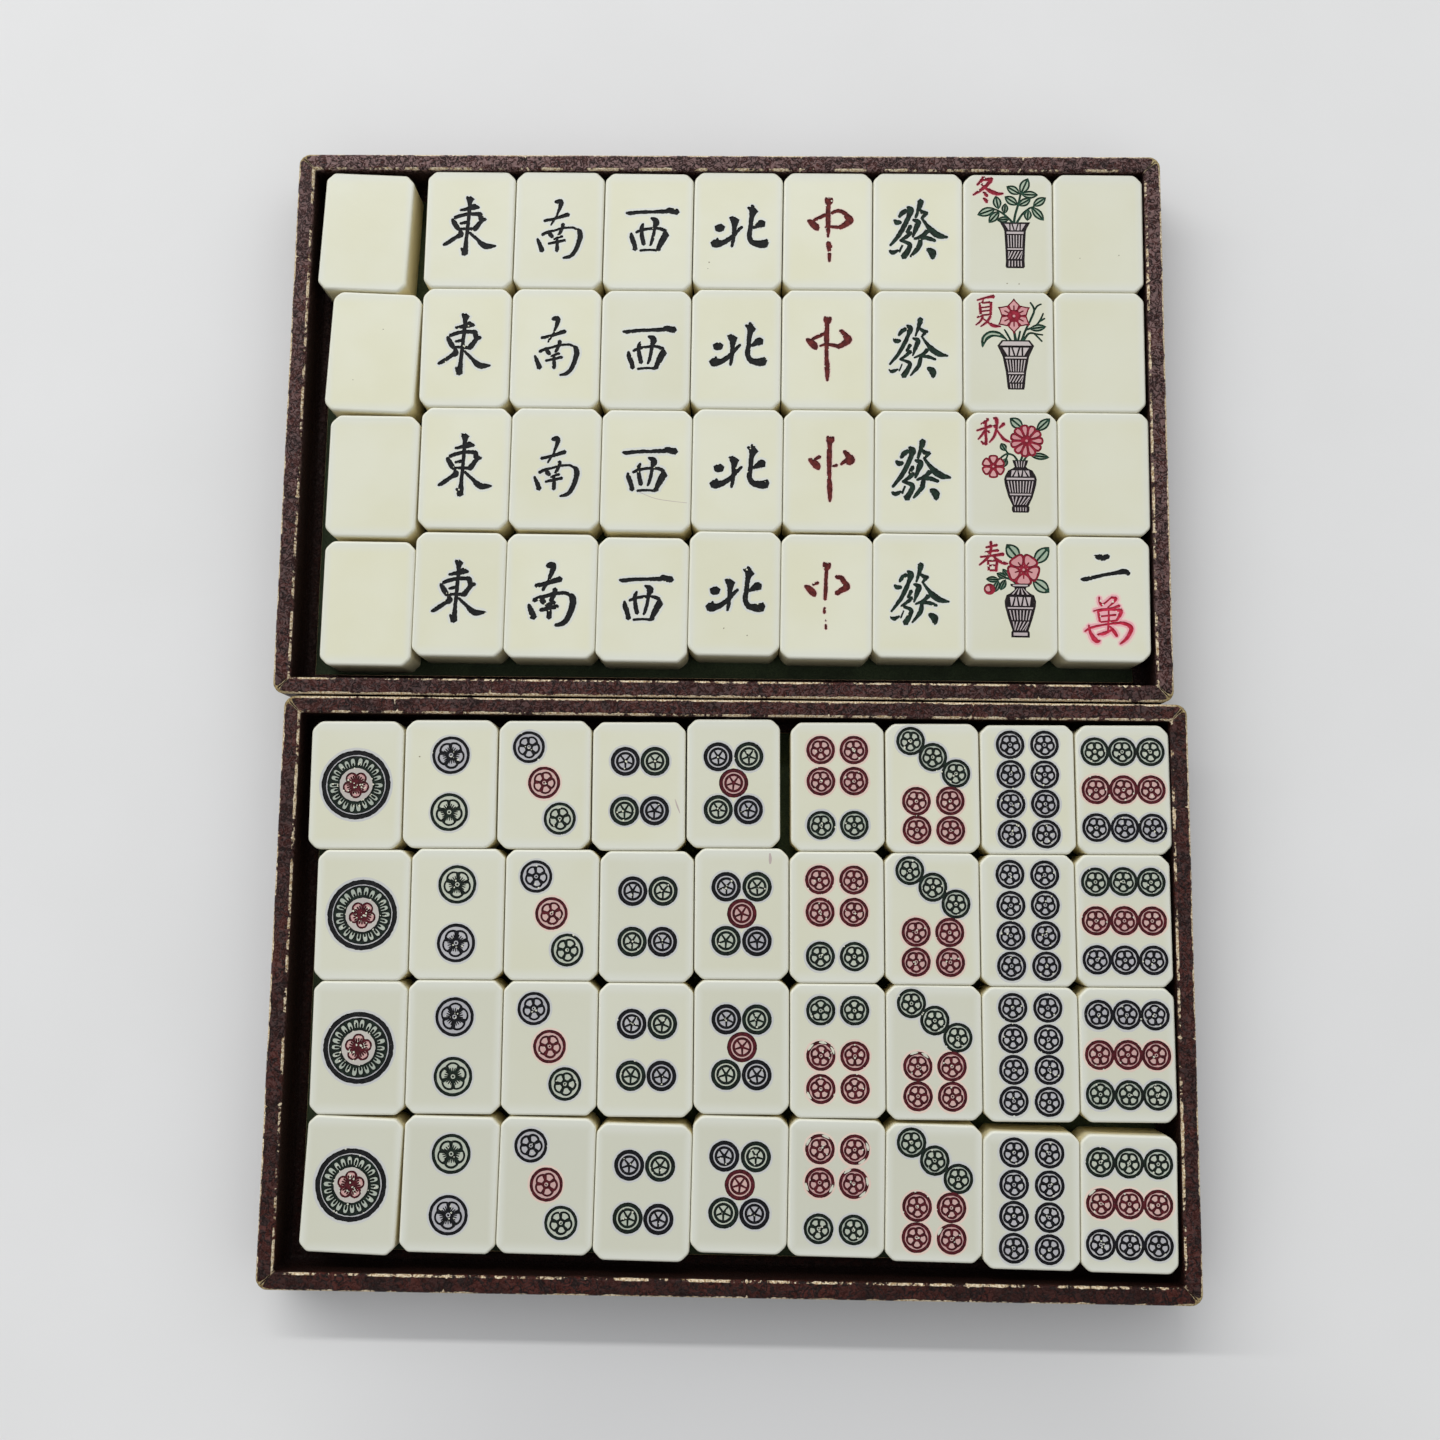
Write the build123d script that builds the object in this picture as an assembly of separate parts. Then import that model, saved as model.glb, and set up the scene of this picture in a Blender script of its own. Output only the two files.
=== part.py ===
from build123d import *
from dataclasses import dataclass, field
import os

# A mahjong set in two open trays, one behind the other, with 36 tiles lying face up in each.
# The origin is on the table, midway between the trays. +X runs along the rows of tiles,
# +Y points away from the player and +Z points up. Lengths are in millimetres, turns in degrees.

# Tiles
TILE_WIDTH = 24.0
TILE_LENGTH = 33.2
TILE_THICKNESS = 12.5
CORNER_CUT = 2.3
EDGE_BEVEL = 0.6

# Room round the block of tiles in a tray
SPARE_ALONG_ROWS = 9.1
SPARE_ACROSS_ROWS = 7.2
FAR_CLEARANCE = 0.12
ROW_GAP = 0.1
RIM_ABOVE_TILES = 0.8

# Tray boards and what covers them
WALL_BOARD = 3.4
BASE_BOARD = 3.5
COVER_THICKNESS = 0.5
TURN_IN = 2.5
LINING_THICKNESS = 0.5
LINING_CLEARANCE = 0.2
CORNER_RADIUS = 3.0
RIM_ROUNDING = 0.6

# How the two trays stand to each other
TRAY_OFFSET = 3.2
TRAY_GAP = 0.5


@dataclass
class Row:
    """One row of tiles: room left at the right wall, gap between tiles, and their common turn."""
    right_clearance: float
    gap: float
    turn: float


@dataclass
class Stray:
    """A tile that lies out of line: its shift along the row, its slip nearer, and its own turn."""
    shift: float = 0.0
    slip: float = 0.0
    turn: float = 0.0


@dataclass
class Tray:
    """Where a tray stands and how its tiles lie in it, columns counted from the left."""
    name: str
    centre: tuple
    rows: tuple
    column_slips: tuple
    near_row_slips: tuple
    left_shifts: dict = field(default_factory=dict)
    strays: dict = field(default_factory=dict)


# Names of the tiles, column by column from the left and each column from far to near
def four_of(kind):
    return [f"{kind}_{number}" for number in range(1, 5)]


UPPER_COLUMNS = [
    four_of("white_dragon"),
    four_of("east_wind"),
    four_of("south_wind"),
    four_of("west_wind"),
    four_of("north_wind"),
    four_of("red_dragon"),
    four_of("green_dragon"),
    ["season_winter", "season_summer", "season_autumn", "season_spring"],
    ["spare_blank_1", "spare_blank_2", "spare_blank_3", "two_of_characters"],
]
LOWER_COLUMNS = [
    "one_of_dots",
    "two_of_dots",
    "three_of_dots",
    "four_of_dots",
    "five_of_dots",
    "six_of_dots",
    "seven_of_dots",
    "eight_of_dots",
    "nine_of_dots",
]
COLUMN_COUNT = len(UPPER_COLUMNS)
ROW_COUNT = len(UPPER_COLUMNS[0])

# Tray sizes that follow from the tiles and the boards
WALL_THICKNESS = WALL_BOARD + 2 * COVER_THICKNESS
INSIDE_LENGTH = COLUMN_COUNT * TILE_WIDTH + SPARE_ALONG_ROWS
INSIDE_DEPTH = ROW_COUNT * TILE_LENGTH + SPARE_ACROSS_ROWS
TRAY_LENGTH = INSIDE_LENGTH + 2 * WALL_THICKNESS
TRAY_DEPTH = INSIDE_DEPTH + 2 * WALL_THICKNESS
FLOOR_HEIGHT = BASE_BOARD + LINING_THICKNESS
TRAY_HEIGHT = FLOOR_HEIGHT + TILE_THICKNESS + RIM_ABOVE_TILES
TRAY_SPACING = TRAY_DEPTH + TRAY_GAP

UPPER_TRAY = Tray(
    name="upper_tray",
    centre=(-TRAY_OFFSET / 2, TRAY_SPACING / 2),
    rows=(
        Row(right_clearance=0.50, gap=0.25, turn=-0.4),
        Row(right_clearance=0.75, gap=0.22, turn=-0.2),
        Row(right_clearance=0.35, gap=0.15, turn=-0.3),
        Row(right_clearance=0.95, gap=0.10, turn=-0.4),
    ),
    column_slips=(0.0, 0.05, 0.05, 0.4, 0.0, 0.05, 0.1, 0.4, 0.35),
    near_row_slips=(3.5, 0.8, 1.05, 1.45, 0.0, 0.6, 0.1, 0.0, 0.35),
    strays={
        (0, 0): Stray(shift=-4.0, slip=0.9, turn=-2.3),
        (1, 0): Stray(shift=-0.6, slip=1.5, turn=-2.3),
        (2, 0): Stray(shift=-0.3, slip=2.4, turn=-0.5),
    },
)
LOWER_TRAY = Tray(
    name="lower_tray",
    centre=(TRAY_OFFSET / 2, -TRAY_SPACING / 2),
    rows=(
        Row(right_clearance=0.25, gap=0.40, turn=0.5),
        Row(right_clearance=0.80, gap=0.25, turn=0.4),
        Row(right_clearance=0.60, gap=0.22, turn=0.3),
        Row(right_clearance=1.00, gap=0.15, turn=-0.7),
    ),
    column_slips=(1.95, 1.4, 1.35, 1.45, 0.45, 1.0, 1.1, 1.2, 1.0),
    near_row_slips=(0.4, 0.4, 0.4, 1.45, 0.3, 0.2, 0.9, 2.25, 2.85),
    left_shifts={0: (5, 2.4)},
    strays={(3, 0): Stray(shift=-0.6, slip=2.3, turn=-2.0)},
)


def make_tile():
    """One tile, its back on z = 0: a block with cut corners and a bevel round face and back."""
    block = extrude(Rectangle(TILE_WIDTH, TILE_LENGTH), TILE_THICKNESS)
    tile = chamfer(block.edges().filter_by(Axis.Z), CORNER_CUT)
    faces = tile.faces().filter_by(Axis.Z)
    return chamfer(faces.edges(), EDGE_BEVEL)


def tile_place(tray, row_number, column):
    """Where the tile in this row (0 is the far one) and column (0 is the left one) lies."""
    row = tray.rows[row_number]
    columns_to_right = COLUMN_COUNT - 1 - column
    x = INSIDE_LENGTH / 2 - row.right_clearance - TILE_WIDTH / 2
    x -= columns_to_right * (TILE_WIDTH + row.gap)
    first_column, shift = tray.left_shifts.get(row_number, (0, 0.0))
    if column < first_column:
        x -= shift

    y = INSIDE_DEPTH / 2 - FAR_CLEARANCE - TILE_LENGTH / 2
    y -= row_number * (TILE_LENGTH + ROW_GAP)
    turn = row.turn
    if (row_number, column) in tray.strays:
        stray = tray.strays[row_number, column]
        x += stray.shift
        y -= stray.slip
        turn = stray.turn
    else:
        y -= tray.column_slips[column]
        if row_number == ROW_COUNT - 1:
            y -= tray.near_row_slips[column]

    centre_x, centre_y = tray.centre
    return Pos(centre_x + x, centre_y + y, FLOOR_HEIGHT) * Rot(0, 0, turn)


def rounded_block(length, depth, radius, low, high):
    """A flat block with rounded upright corners between two heights."""
    return Pos(0, 0, low) * extrude(RectangleRounded(length, depth, radius), high - low)


def wall_ring():
    """All four wall boards in one ring, standing on the base board under the covered rim."""
    inset = 2 * COVER_THICKNESS
    top = TRAY_HEIGHT - COVER_THICKNESS
    ring = rounded_block(
        TRAY_LENGTH - inset, TRAY_DEPTH - inset, CORNER_RADIUS - COVER_THICKNESS, BASE_BOARD, top
    )
    hollow = extrude(Rectangle(INSIDE_LENGTH + inset, INSIDE_DEPTH + inset), top)
    return ring - hollow


def mitre_wedge(side):
    """The plan area between two mitre lines that holds the wall board on one side."""
    half_length = TRAY_LENGTH / 2
    half_depth = TRAY_DEPTH / 2
    ridge = half_length - half_depth
    near_left, near_right = (-half_length, -half_depth), (half_length, -half_depth)
    far_left, far_right = (-half_length, half_depth), (half_length, half_depth)
    left_ridge, right_ridge = (-ridge, 0), (ridge, 0)
    corners = {
        "near": (near_left, near_right, right_ridge, left_ridge),
        "right": (near_right, far_right, right_ridge),
        "far": (far_right, far_left, left_ridge, right_ridge),
        "left": (far_left, near_left, left_ridge),
    }
    return extrude(make_face(Polyline(*corners[side], close=True)), TRAY_HEIGHT)


def make_base_board():
    inset = 2 * COVER_THICKNESS
    radius = CORNER_RADIUS - COVER_THICKNESS
    return rounded_block(TRAY_LENGTH - inset, TRAY_DEPTH - inset, radius, 0, BASE_BOARD)


def make_cover():
    """The covering, one skin from the foot of the outside over the rim to its turn-in inside."""
    skin = rounded_block(TRAY_LENGTH, TRAY_DEPTH, CORNER_RADIUS, 0, TRAY_HEIGHT)
    inside = Pos(0, 0, BASE_BOARD + COVER_THICKNESS) * extrude(
        Rectangle(INSIDE_LENGTH, INSIDE_DEPTH), TRAY_HEIGHT
    )
    window = extrude(Rectangle(INSIDE_LENGTH - 2 * TURN_IN, INSIDE_DEPTH - 2 * TURN_IN), TRAY_HEIGHT)
    skin -= inside
    skin -= window
    rim = skin.faces().sort_by(Axis.Z)[-1]
    skin = fillet(rim.edges(), RIM_ROUNDING)
    return skin - wall_ring() - make_base_board()


def make_lining():
    """The floor sheet, lying inside the frame that the cover's turn-in makes."""
    inset = 2 * (TURN_IN + LINING_CLEARANCE)
    sheet = Rectangle(INSIDE_LENGTH - inset, INSIDE_DEPTH - inset)
    return Pos(0, 0, BASE_BOARD) * extrude(sheet, LINING_THICKNESS)


def tray_parts(tray):
    """The seven pieces of one tray, by name, in place."""
    ring = wall_ring()
    pieces = {
        "base_board": make_base_board(),
        "cover": make_cover(),
        "lining": make_lining(),
    }
    for side in ("near", "right", "far", "left"):
        pieces[f"{side}_wall"] = ring & mitre_wedge(side)
    place = Pos(tray.centre[0], tray.centre[1], 0)
    return {f"{tray.name}_{name}": place * piece for name, piece in pieces.items()}


def upper_tiles(tile):
    """A node for each tile of the upper tray."""
    nodes = {}
    for column, names in enumerate(UPPER_COLUMNS):
        for row_number, name in enumerate(names):
            nodes[name] = tile_place(UPPER_TRAY, row_number, column) * tile
    return nodes


def lower_tiles(tile):
    """A node for each rank of the lower tray: its four like tiles, as separate solids."""
    nodes = {}
    for column, name in enumerate(LOWER_COLUMNS):
        tiles = [tile_place(LOWER_TRAY, row_number, column) * tile for row_number in range(ROW_COUNT)]
        nodes[name] = Compound(tiles)
    return nodes


def main():
    os.makedirs("parts", exist_ok=True)
    tile = make_tile()
    nodes = tray_parts(UPPER_TRAY) | tray_parts(LOWER_TRAY) | upper_tiles(tile) | lower_tiles(tile)
    for name, shape in nodes.items():
        shape.label = name
        export_step(shape, f"parts/{name}.step")
    print(len(nodes), "nodes; each tray measures", TRAY_LENGTH, "by", TRAY_DEPTH, "by", TRAY_HEIGHT)


main()
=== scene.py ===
# %% [markdown]
# # A mahjong set in two trays
# The set is two open, leatherette-covered trays with 36 ivory-coloured tiles lying face up in each.
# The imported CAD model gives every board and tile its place. Here each piece gets its looks: the
# tiles get softly rounded edges and painted engravings, and the trays get a worn covering.
# All pieces are meshes built in code, and all finishes are made of shader nodes.

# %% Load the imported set
import math
import random

import bpy
import numpy as np
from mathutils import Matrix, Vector, noise
from mathutils.geometry import delaunay_2d_cdt


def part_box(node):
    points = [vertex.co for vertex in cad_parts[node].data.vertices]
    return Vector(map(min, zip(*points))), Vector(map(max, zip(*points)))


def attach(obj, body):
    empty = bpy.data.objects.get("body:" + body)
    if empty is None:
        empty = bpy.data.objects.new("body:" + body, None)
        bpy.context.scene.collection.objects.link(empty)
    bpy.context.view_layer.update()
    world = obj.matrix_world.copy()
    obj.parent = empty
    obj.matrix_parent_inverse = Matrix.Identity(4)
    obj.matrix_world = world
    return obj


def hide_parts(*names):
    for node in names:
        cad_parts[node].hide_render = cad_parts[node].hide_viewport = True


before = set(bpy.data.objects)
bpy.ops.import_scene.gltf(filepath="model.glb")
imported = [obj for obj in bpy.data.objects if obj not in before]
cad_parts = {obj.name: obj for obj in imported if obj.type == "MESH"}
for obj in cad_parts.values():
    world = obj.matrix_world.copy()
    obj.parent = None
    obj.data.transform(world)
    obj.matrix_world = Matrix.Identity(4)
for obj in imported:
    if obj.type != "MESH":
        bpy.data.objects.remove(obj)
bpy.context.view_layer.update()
MM = 0.001
dice = random.Random(144)


def add_object(name, data):
    """Puts an object that holds this mesh, lamp or camera into the scene."""
    item = bpy.data.objects.new(name, data)
    bpy.context.scene.collection.objects.link(item)
    return item


# %% [markdown]
# ## Camera
# The photo was taken by hand from nearly straight above, with a phone's wide lens. The tilt of 7
# degrees shows a little of the near side of the tiles. A 35 mm lens on a 36 mm sensor gives the
# same spread of the two trays over the frame.

# %% Set the camera
camera = add_object("camera", bpy.data.cameras.new("camera"))
camera.data.lens = 35.0
camera.data.sensor_width = 36.0
camera.location = (0.00463, -0.04876, 0.37645)
camera.rotation_euler = [math.radians(turn) for turn in (6.867, 0.931, 0.707)]
bpy.context.scene.camera = camera
print("The camera looks down from", round(camera.location.z * 1000), "mm")

# %% [markdown]
# ## Small helpers for materials
# Colours are written as sRGB hex codes, the way a paint program shows them, and one function turns
# them into the linear values that shaders need. A second one adds a node, sets it and links it.
# Sockets that share a name go by their number. A Map Range node takes its value at 0, the range it
# comes in at 1 and 2, and the range it leaves in at 3 and 4, which are 0 and 1 where they aren't
# given. A mix of colours takes its amount at 0 and its colours at 6 and 7, and gives the result at 2.

# %% Helpers for colours and nodes
def linear(code):
    """The linear colour of an sRGB hex code such as #D9DBC6."""
    values = [int(code[i:i + 2], 16) / 255 for i in (1, 3, 5)]
    return [v / 12.92 if v <= 0.04045 else ((v + 0.055) / 1.055) ** 2.4 for v in values] + [1.0]


def add_node(tree, kind, inputs, **settings):
    """Adds a node. Inputs hold values, hex colours or outputs, by the socket's name or number."""
    node = tree.nodes.new(kind)
    for name, value in settings.items():
        setattr(node, name, value)
    for name, value in inputs.items():
        if isinstance(value, bpy.types.NodeSocket):
            tree.links.new(value, node.inputs[name])
        else:
            is_hex = isinstance(value, str)
            node.inputs[name].default_value = linear(value) if is_hex else value
    return node


def new_material(name):
    """An empty material: its node tree and a coordinate that counts in millimetres."""
    material = bpy.data.materials.new(name)
    material.use_nodes = True
    tree = material.node_tree
    tree.nodes.clear()
    place = add_node(tree, "ShaderNodeTexCoord", {})
    in_mm = add_node(
        tree, "ShaderNodeVectorMath", {0: place.outputs["Object"], "Scale": 1000.0}, operation="SCALE"
    )
    return material, tree, in_mm.outputs[0]


def set_surface(tree, inputs):
    """Ends a material with a surface shader and its output."""
    shader = add_node(tree, "ShaderNodeBsdfPrincipled", inputs)
    add_node(tree, "ShaderNodeOutputMaterial", {"Surface": shader.outputs[0]})


print("D9DBC6 in linear values:", [round(v, 3) for v in linear("#D9DBC6")])

# %% [markdown]
# ## Table and light
# The trays lie on a pale grey table. The shadow on the near side has a sharp long edge and very soft
# ends, so the window is a wide low strip, far behind the trays and to the left. The rest of the room
# is a pale world, dimmer above and on the near side. The near middle of the table lies in a wide soft
# shade, which is put in the table's colour. The strengths are set so that a surface shows about the
# colour it is given, and the tiles stay below white.

# %% Make the table
HALF_TABLE = 1.5  # metres
# The shade on the table: its middle in millimetres, and where it begins and has ended to fade
SHADE_MIDDLE = (30.0, -267.0, 0.0)
SHADE_RADII = (100.0, 175.0)


def make_table():
    """A pale matte table top with very faint blotches and grain, shaded at its near middle."""
    material, tree, in_mm = new_material("matte_lacquered_table")
    blotch = add_node(tree, "ShaderNodeTexNoise", {"Vector": in_mm, "Scale": 1 / 60, "Detail": 6.0})
    tone = add_node(
        tree, "ShaderNodeMix", {0: blotch.outputs[0], 6: "#DADAD8", 7: "#E1E1E0"}, data_type="RGBA"
    )
    away = add_node(tree, "ShaderNodeVectorMath", {0: in_mm, 1: SHADE_MIDDLE}, operation="DISTANCE")
    begins, ended = SHADE_RADII
    shade = add_node(
        tree, "ShaderNodeMapRange", {0: away.outputs["Value"], 1: begins, 2: ended, 3: 1.0, 4: 0.0},
        interpolation_type="SMOOTHSTEP",
    )
    colour = add_node(
        tree, "ShaderNodeMix", {0: shade.outputs[0], 6: tone.outputs[2], 7: "#D0D0CF"}, data_type="RGBA"
    )
    set_surface(tree, {"Base Color": colour.outputs[2], "Roughness": 0.75})
    mesh = bpy.data.meshes.new("table")
    corners = [(x * HALF_TABLE, y * HALF_TABLE, 0) for x, y in ((-1, -1), (1, -1), (1, 1), (-1, 1))]
    mesh.from_pydata(corners, [], [(0, 1, 2, 3)])
    mesh.materials.append(material)
    return add_object("table", mesh)


table = make_table()
print("Table", 2 * HALF_TABLE, "m wide")

# %% Set the light
def add_lamp(name, place, aim, size, power):
    """A soft rectangular lamp, size in metres and power in watts."""
    lamp = bpy.data.lights.new(name, "AREA")
    lamp.shape = "RECTANGLE"
    lamp.size, lamp.size_y = size
    lamp.energy = power
    holder = add_object(name, lamp)
    holder.location = place
    holder.rotation_euler = (Vector(aim) - Vector(place)).to_track_quat("-Z", "Y").to_euler()


def light_room():
    """A pale room. Its strength falls towards straight above (Z) and towards the near side (Y)."""
    world = bpy.data.worlds.new("room")
    bpy.context.scene.world = world
    world.use_nodes = True
    tree = world.node_tree
    direction = add_node(tree, "ShaderNodeTexCoord", {})
    parts = add_node(tree, "ShaderNodeSeparateXYZ", {0: direction.outputs["Generated"]})
    above = add_node(
        tree, "ShaderNodeMapRange", {0: parts.outputs["Z"], 1: 0.7, 2: 0.95, 3: 1.12, 4: 0.31},
        interpolation_type="SMOOTHSTEP",
    )
    near = add_node(
        tree, "ShaderNodeMapRange", {0: parts.outputs["Y"], 1: -0.8, 2: 0.2, 3: 0.55, 4: 1.0},
        interpolation_type="SMOOTHSTEP",
    )
    level = add_node(
        tree, "ShaderNodeMath", {0: above.outputs[0], 1: near.outputs[0]}, operation="MULTIPLY"
    )
    background = tree.nodes["Background"]
    background.inputs["Color"].default_value = linear("#FBFCFF")
    tree.links.new(level.outputs[0], background.inputs["Strength"])


add_lamp("window", (-1.95, 1.75, 1.95), (-1.95, 0.0, 0.0), (4.6, 0.12), 54.0)
light_room()
bpy.context.scene.view_settings.view_transform = "Standard"
print("Lit by one strip of window and a pale room")

# %% [markdown]
# ## Tile material: moulded resin, ivory
# Old travelling sets have tiles of moulded urea or acrylic resin in imitation of ivory. It takes a
# soft polish from handling, and it yellows where hands don't rub it: the sides are warmer than the
# faces. A mesh attribute called aged says how far a point is down the side, one called tone sets
# how cool the whole tile is (in the near tray it also paints the near rows darker, as shade), and a
# wide noise makes the resin a little cloudy. Close to its edges a face is painted whiter over its
# last two millimetres, as a painted highlight where the rounded edges catch the light. Its
# reflection is weak and broad, like that of teeth.

# %% Find the painted highlight along a tile's edges
# The painted highlight's margin as shares of the tile's size from its middle, and its strength at the very
# edge
EDGE_HIGHLIGHT_START, EDGE_HIGHLIGHT_END, EDGE_HIGHLIGHT_STRENGTH = 0.39, 0.49, 0.75


def painted_edge_highlight(tree):
    """A painted highlight: nothing on the middle of a tile's face, rising in its last two millimetres or so.
    """
    place = add_node(tree, "ShaderNodeTexCoord", {})
    from_middle = add_node(
        tree, "ShaderNodeVectorMath", {0: place.outputs["Generated"], 1: (0.5, 0.5, 0.5)},
        operation="SUBTRACT",
    )
    size = add_node(tree, "ShaderNodeVectorMath", {0: from_middle.outputs[0]}, operation="ABSOLUTE")
    parts = add_node(tree, "ShaderNodeSeparateXYZ", {0: size.outputs[0]})
    most = add_node(tree, "ShaderNodeMath", {0: parts.outputs[0], 1: parts.outputs[1]}, operation="MAXIMUM")
    rise = add_node(
        tree, "ShaderNodeMapRange",
        {0: most.outputs[0], 1: EDGE_HIGHLIGHT_START, 2: EDGE_HIGHLIGHT_END, 4: EDGE_HIGHLIGHT_STRENGTH},
        interpolation_type="SMOOTHSTEP",
    )
    return rise.outputs[0]


print("Margins begin at", EDGE_HIGHLIGHT_START, "of the size from the middle")

# %% Make the ivory resin
def make_ivory(name, face_colours, side_colour, cool=None, rubbed_and_sheen=None):
    """Moulded resin: faintly clouded faces, some tiles cooler than others, warm sides, and where given a
    painted highlight near the face's edges.
    """
    material, tree, in_mm = new_material(name)
    cloud = add_node(tree, "ShaderNodeTexNoise", {"Vector": in_mm, "Scale": 1 / 22, "Detail": 2.0})
    spread = add_node(
        tree, "ShaderNodeMapRange", {0: cloud.outputs[0], 1: 0.3, 2: 0.7}, interpolation_type="SMOOTHSTEP"
    )
    one, other = face_colours
    face = add_node(tree, "ShaderNodeMix", {0: spread.outputs[0], 6: one, 7: other}, data_type="RGBA")
    # The tone attribute moves the face towards a cool grey; on some tiles that is painted shade
    if cool:
        tone = add_node(tree, "ShaderNodeAttribute", {}, attribute_name="tone")
        face = add_node(
            tree, "ShaderNodeMix", {0: tone.outputs["Fac"], 6: face.outputs[2], 7: cool}, data_type="RGBA"
        )
    # The face is painted whiter near its edges, as a highlight where the rounded edges catch the light
    if rubbed_and_sheen:
        face = add_node(
            tree, "ShaderNodeMix", {0: painted_edge_highlight(tree), 6: face.outputs[2], 7: rubbed_and_sheen}, data_type="RGBA"
        )
    aged = add_node(tree, "ShaderNodeAttribute", {}, attribute_name="aged")
    colour = add_node(
        tree, "ShaderNodeMix", {0: aged.outputs["Fac"], 6: face.outputs[2], 7: side_colour},
        data_type="RGBA",
    )
    rub = add_node(tree, "ShaderNodeTexNoise", {"Vector": in_mm, "Scale": 1 / 5, "Detail": 5.0})
    polish = add_node(tree, "ShaderNodeMapRange", {0: rub.outputs[0], 3: 0.28, 4: 0.42})
    dents = add_node(tree, "ShaderNodeTexNoise", {"Vector": in_mm, "Scale": 1 / 2.5, "Detail": 2.0})
    bump = add_node(
        tree, "ShaderNodeBump", {"Height": dents.outputs[0], "Strength": 0.12, "Distance": 0.0002}
    )
    set_surface(tree, {
        "Base Color": colour.outputs[2], "Roughness": polish.outputs[0], "Normal": bump.outputs[0],
    })
    return material


SIDES = "#EBE0B6"
FACES = ("#DCDCC6", "#D9D8BD")
# The last colour is the painted highlight along the edges of each face
INK = {"ivory": make_ivory("moulded_ivory_resin", FACES, SIDES, "#C3C4B5", "#D6D8CE")}
print("Ivory resin made")

# %% [markdown]
# ## Paint in the engravings
# Each sign is cut about a quarter of a millimetre into the face and filled with enamel by hand, and
# the rest is wiped off. The paint is thin: its tone varies along a stroke, and its grain is a
# little rough. A trace of it stays in the fine scratches between close lines, so the ivory
# inside a coin looks stained. Those stained places are a second set of ivory materials.

# %% Make the enamel paints
def make_enamel(name, thick, thin):
    """Hand-filled enamel: a thick and a thin tone, flecked where the ivory comes through."""
    material, tree, in_mm = new_material(name)
    spots = add_node(tree, "ShaderNodeTexNoise", {"Vector": in_mm, "Scale": 1 / 1.1, "Detail": 3.0})
    spread = add_node(tree, "ShaderNodeMapRange", {0: spots.outputs[0], 1: 0.4, 2: 0.62})
    paint = add_node(tree, "ShaderNodeMix", {0: spread.outputs[0], 6: thick, 7: thin}, data_type="RGBA")
    flecks = add_node(tree, "ShaderNodeTexNoise", {"Vector": in_mm, "Scale": 1 / 0.4, "Detail": 2.0})
    rubbed_and_sheen = add_node(tree, "ShaderNodeMapRange", {0: flecks.outputs[0], 1: 0.68, 2: 0.8, 4: 0.28})
    colour = add_node(
        tree, "ShaderNodeMix", {0: rubbed_and_sheen.outputs[0], 6: paint.outputs[2], 7: "#A9A493"}, data_type="RGBA"
    )
    grain = add_node(tree, "ShaderNodeTexNoise", {"Vector": in_mm, "Scale": 1 / 0.25, "Detail": 2.0})
    bump = add_node(
        tree, "ShaderNodeBump", {"Height": grain.outputs[0], "Strength": 0.3, "Distance": 0.0001}
    )
    set_surface(tree, {
        "Base Color": colour.outputs[2], "Roughness": 0.6, "Specular IOR Level": 0.2,
        "Normal": bump.outputs[0],
    })
    return material


ENAMELS = {
    "black": ("#0B0C0D", "#191A1B"),
    "navy": ("#07080A", "#121319"),
    "green": ("#09120C", "#17251C"),
    "red": ("#3C0C12", "#5A1A22"),
    "dragon_red": ("#4B1312", "#6B2521"),
    "dragon_green": ("#0C1A12", "#1E3327"),
    "crimson": ("#7C1426", "#9A2438"),
    "rose": ("#AE1C36", "#C6334E"),
    "leaf": ("#12301F", "#214A38"),
    "vase": ("#150F11", "#261C1E"),
}
for name, tones in ENAMELS.items():
    INK[name] = make_enamel(f"enamel_{name}", *tones)
print(len(ENAMELS), "enamels made")

# %% Make the stained ivories
STAINS = {
    "navy_stain": ("#B7B6B5", "#A8A7A9"),
    "green_stain": ("#AFB6A8", "#9FA79A"),
    "red_stain": ("#C9A39C", "#BA8F8C"),
    "navy_pale": ("#B4B3B4", "#A5A4A8"),
    "green_pale": ("#B9BEAD", "#ABB2A2"),
    "red_pale": ("#CAAAA1", "#BF9B96"),
    "ash": ("#BCB0A8", "#AFA19D"),
    "cool": ("#D6D8CC", "#CFD1C9"),
    "coin_halo": ("#C5C6C0", "#BEBFBD"),
    "ground": ("#BFBAB1", "#B3ADA6"),
    "warm_halo": ("#DCC9BA", "#D6BFB1"),
    "pink": ("#DCB8B2", "#D1A4A2"),
    "blush": ("#E2A5AB", "#DA8F99"),
    "haze": ("#E0CFC0", "#DCC8BA"),
    "petal_stain": ("#D2A09D", "#C28386"),
    "leaf_stain": ("#ACB9A2", "#93A58F"),
    "vase_stain": ("#C6BCB8", "#B5A9A9"),
    "speck": ("#8C8468", "#6F6650"),
}
for name, tones in STAINS.items():
    INK[name] = make_ivory(f"ivory_with_{name}", tones, SIDES)
INK_NAMES = list(INK)
print(len(STAINS), "stained ivories made")

# %% [markdown]
# ## Drawing tools
# A sign is a list of closed outlines in millimetres, measured from the middle of the tile, each
# with the ink it is filled with. Later outlines lie over earlier ones, as in a paper collage.
# Brush strokes come from a few points with a width at each; a smooth curve is run through them and
# its two edges are wobbled a little, because the real ones are cut by hand.

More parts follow.
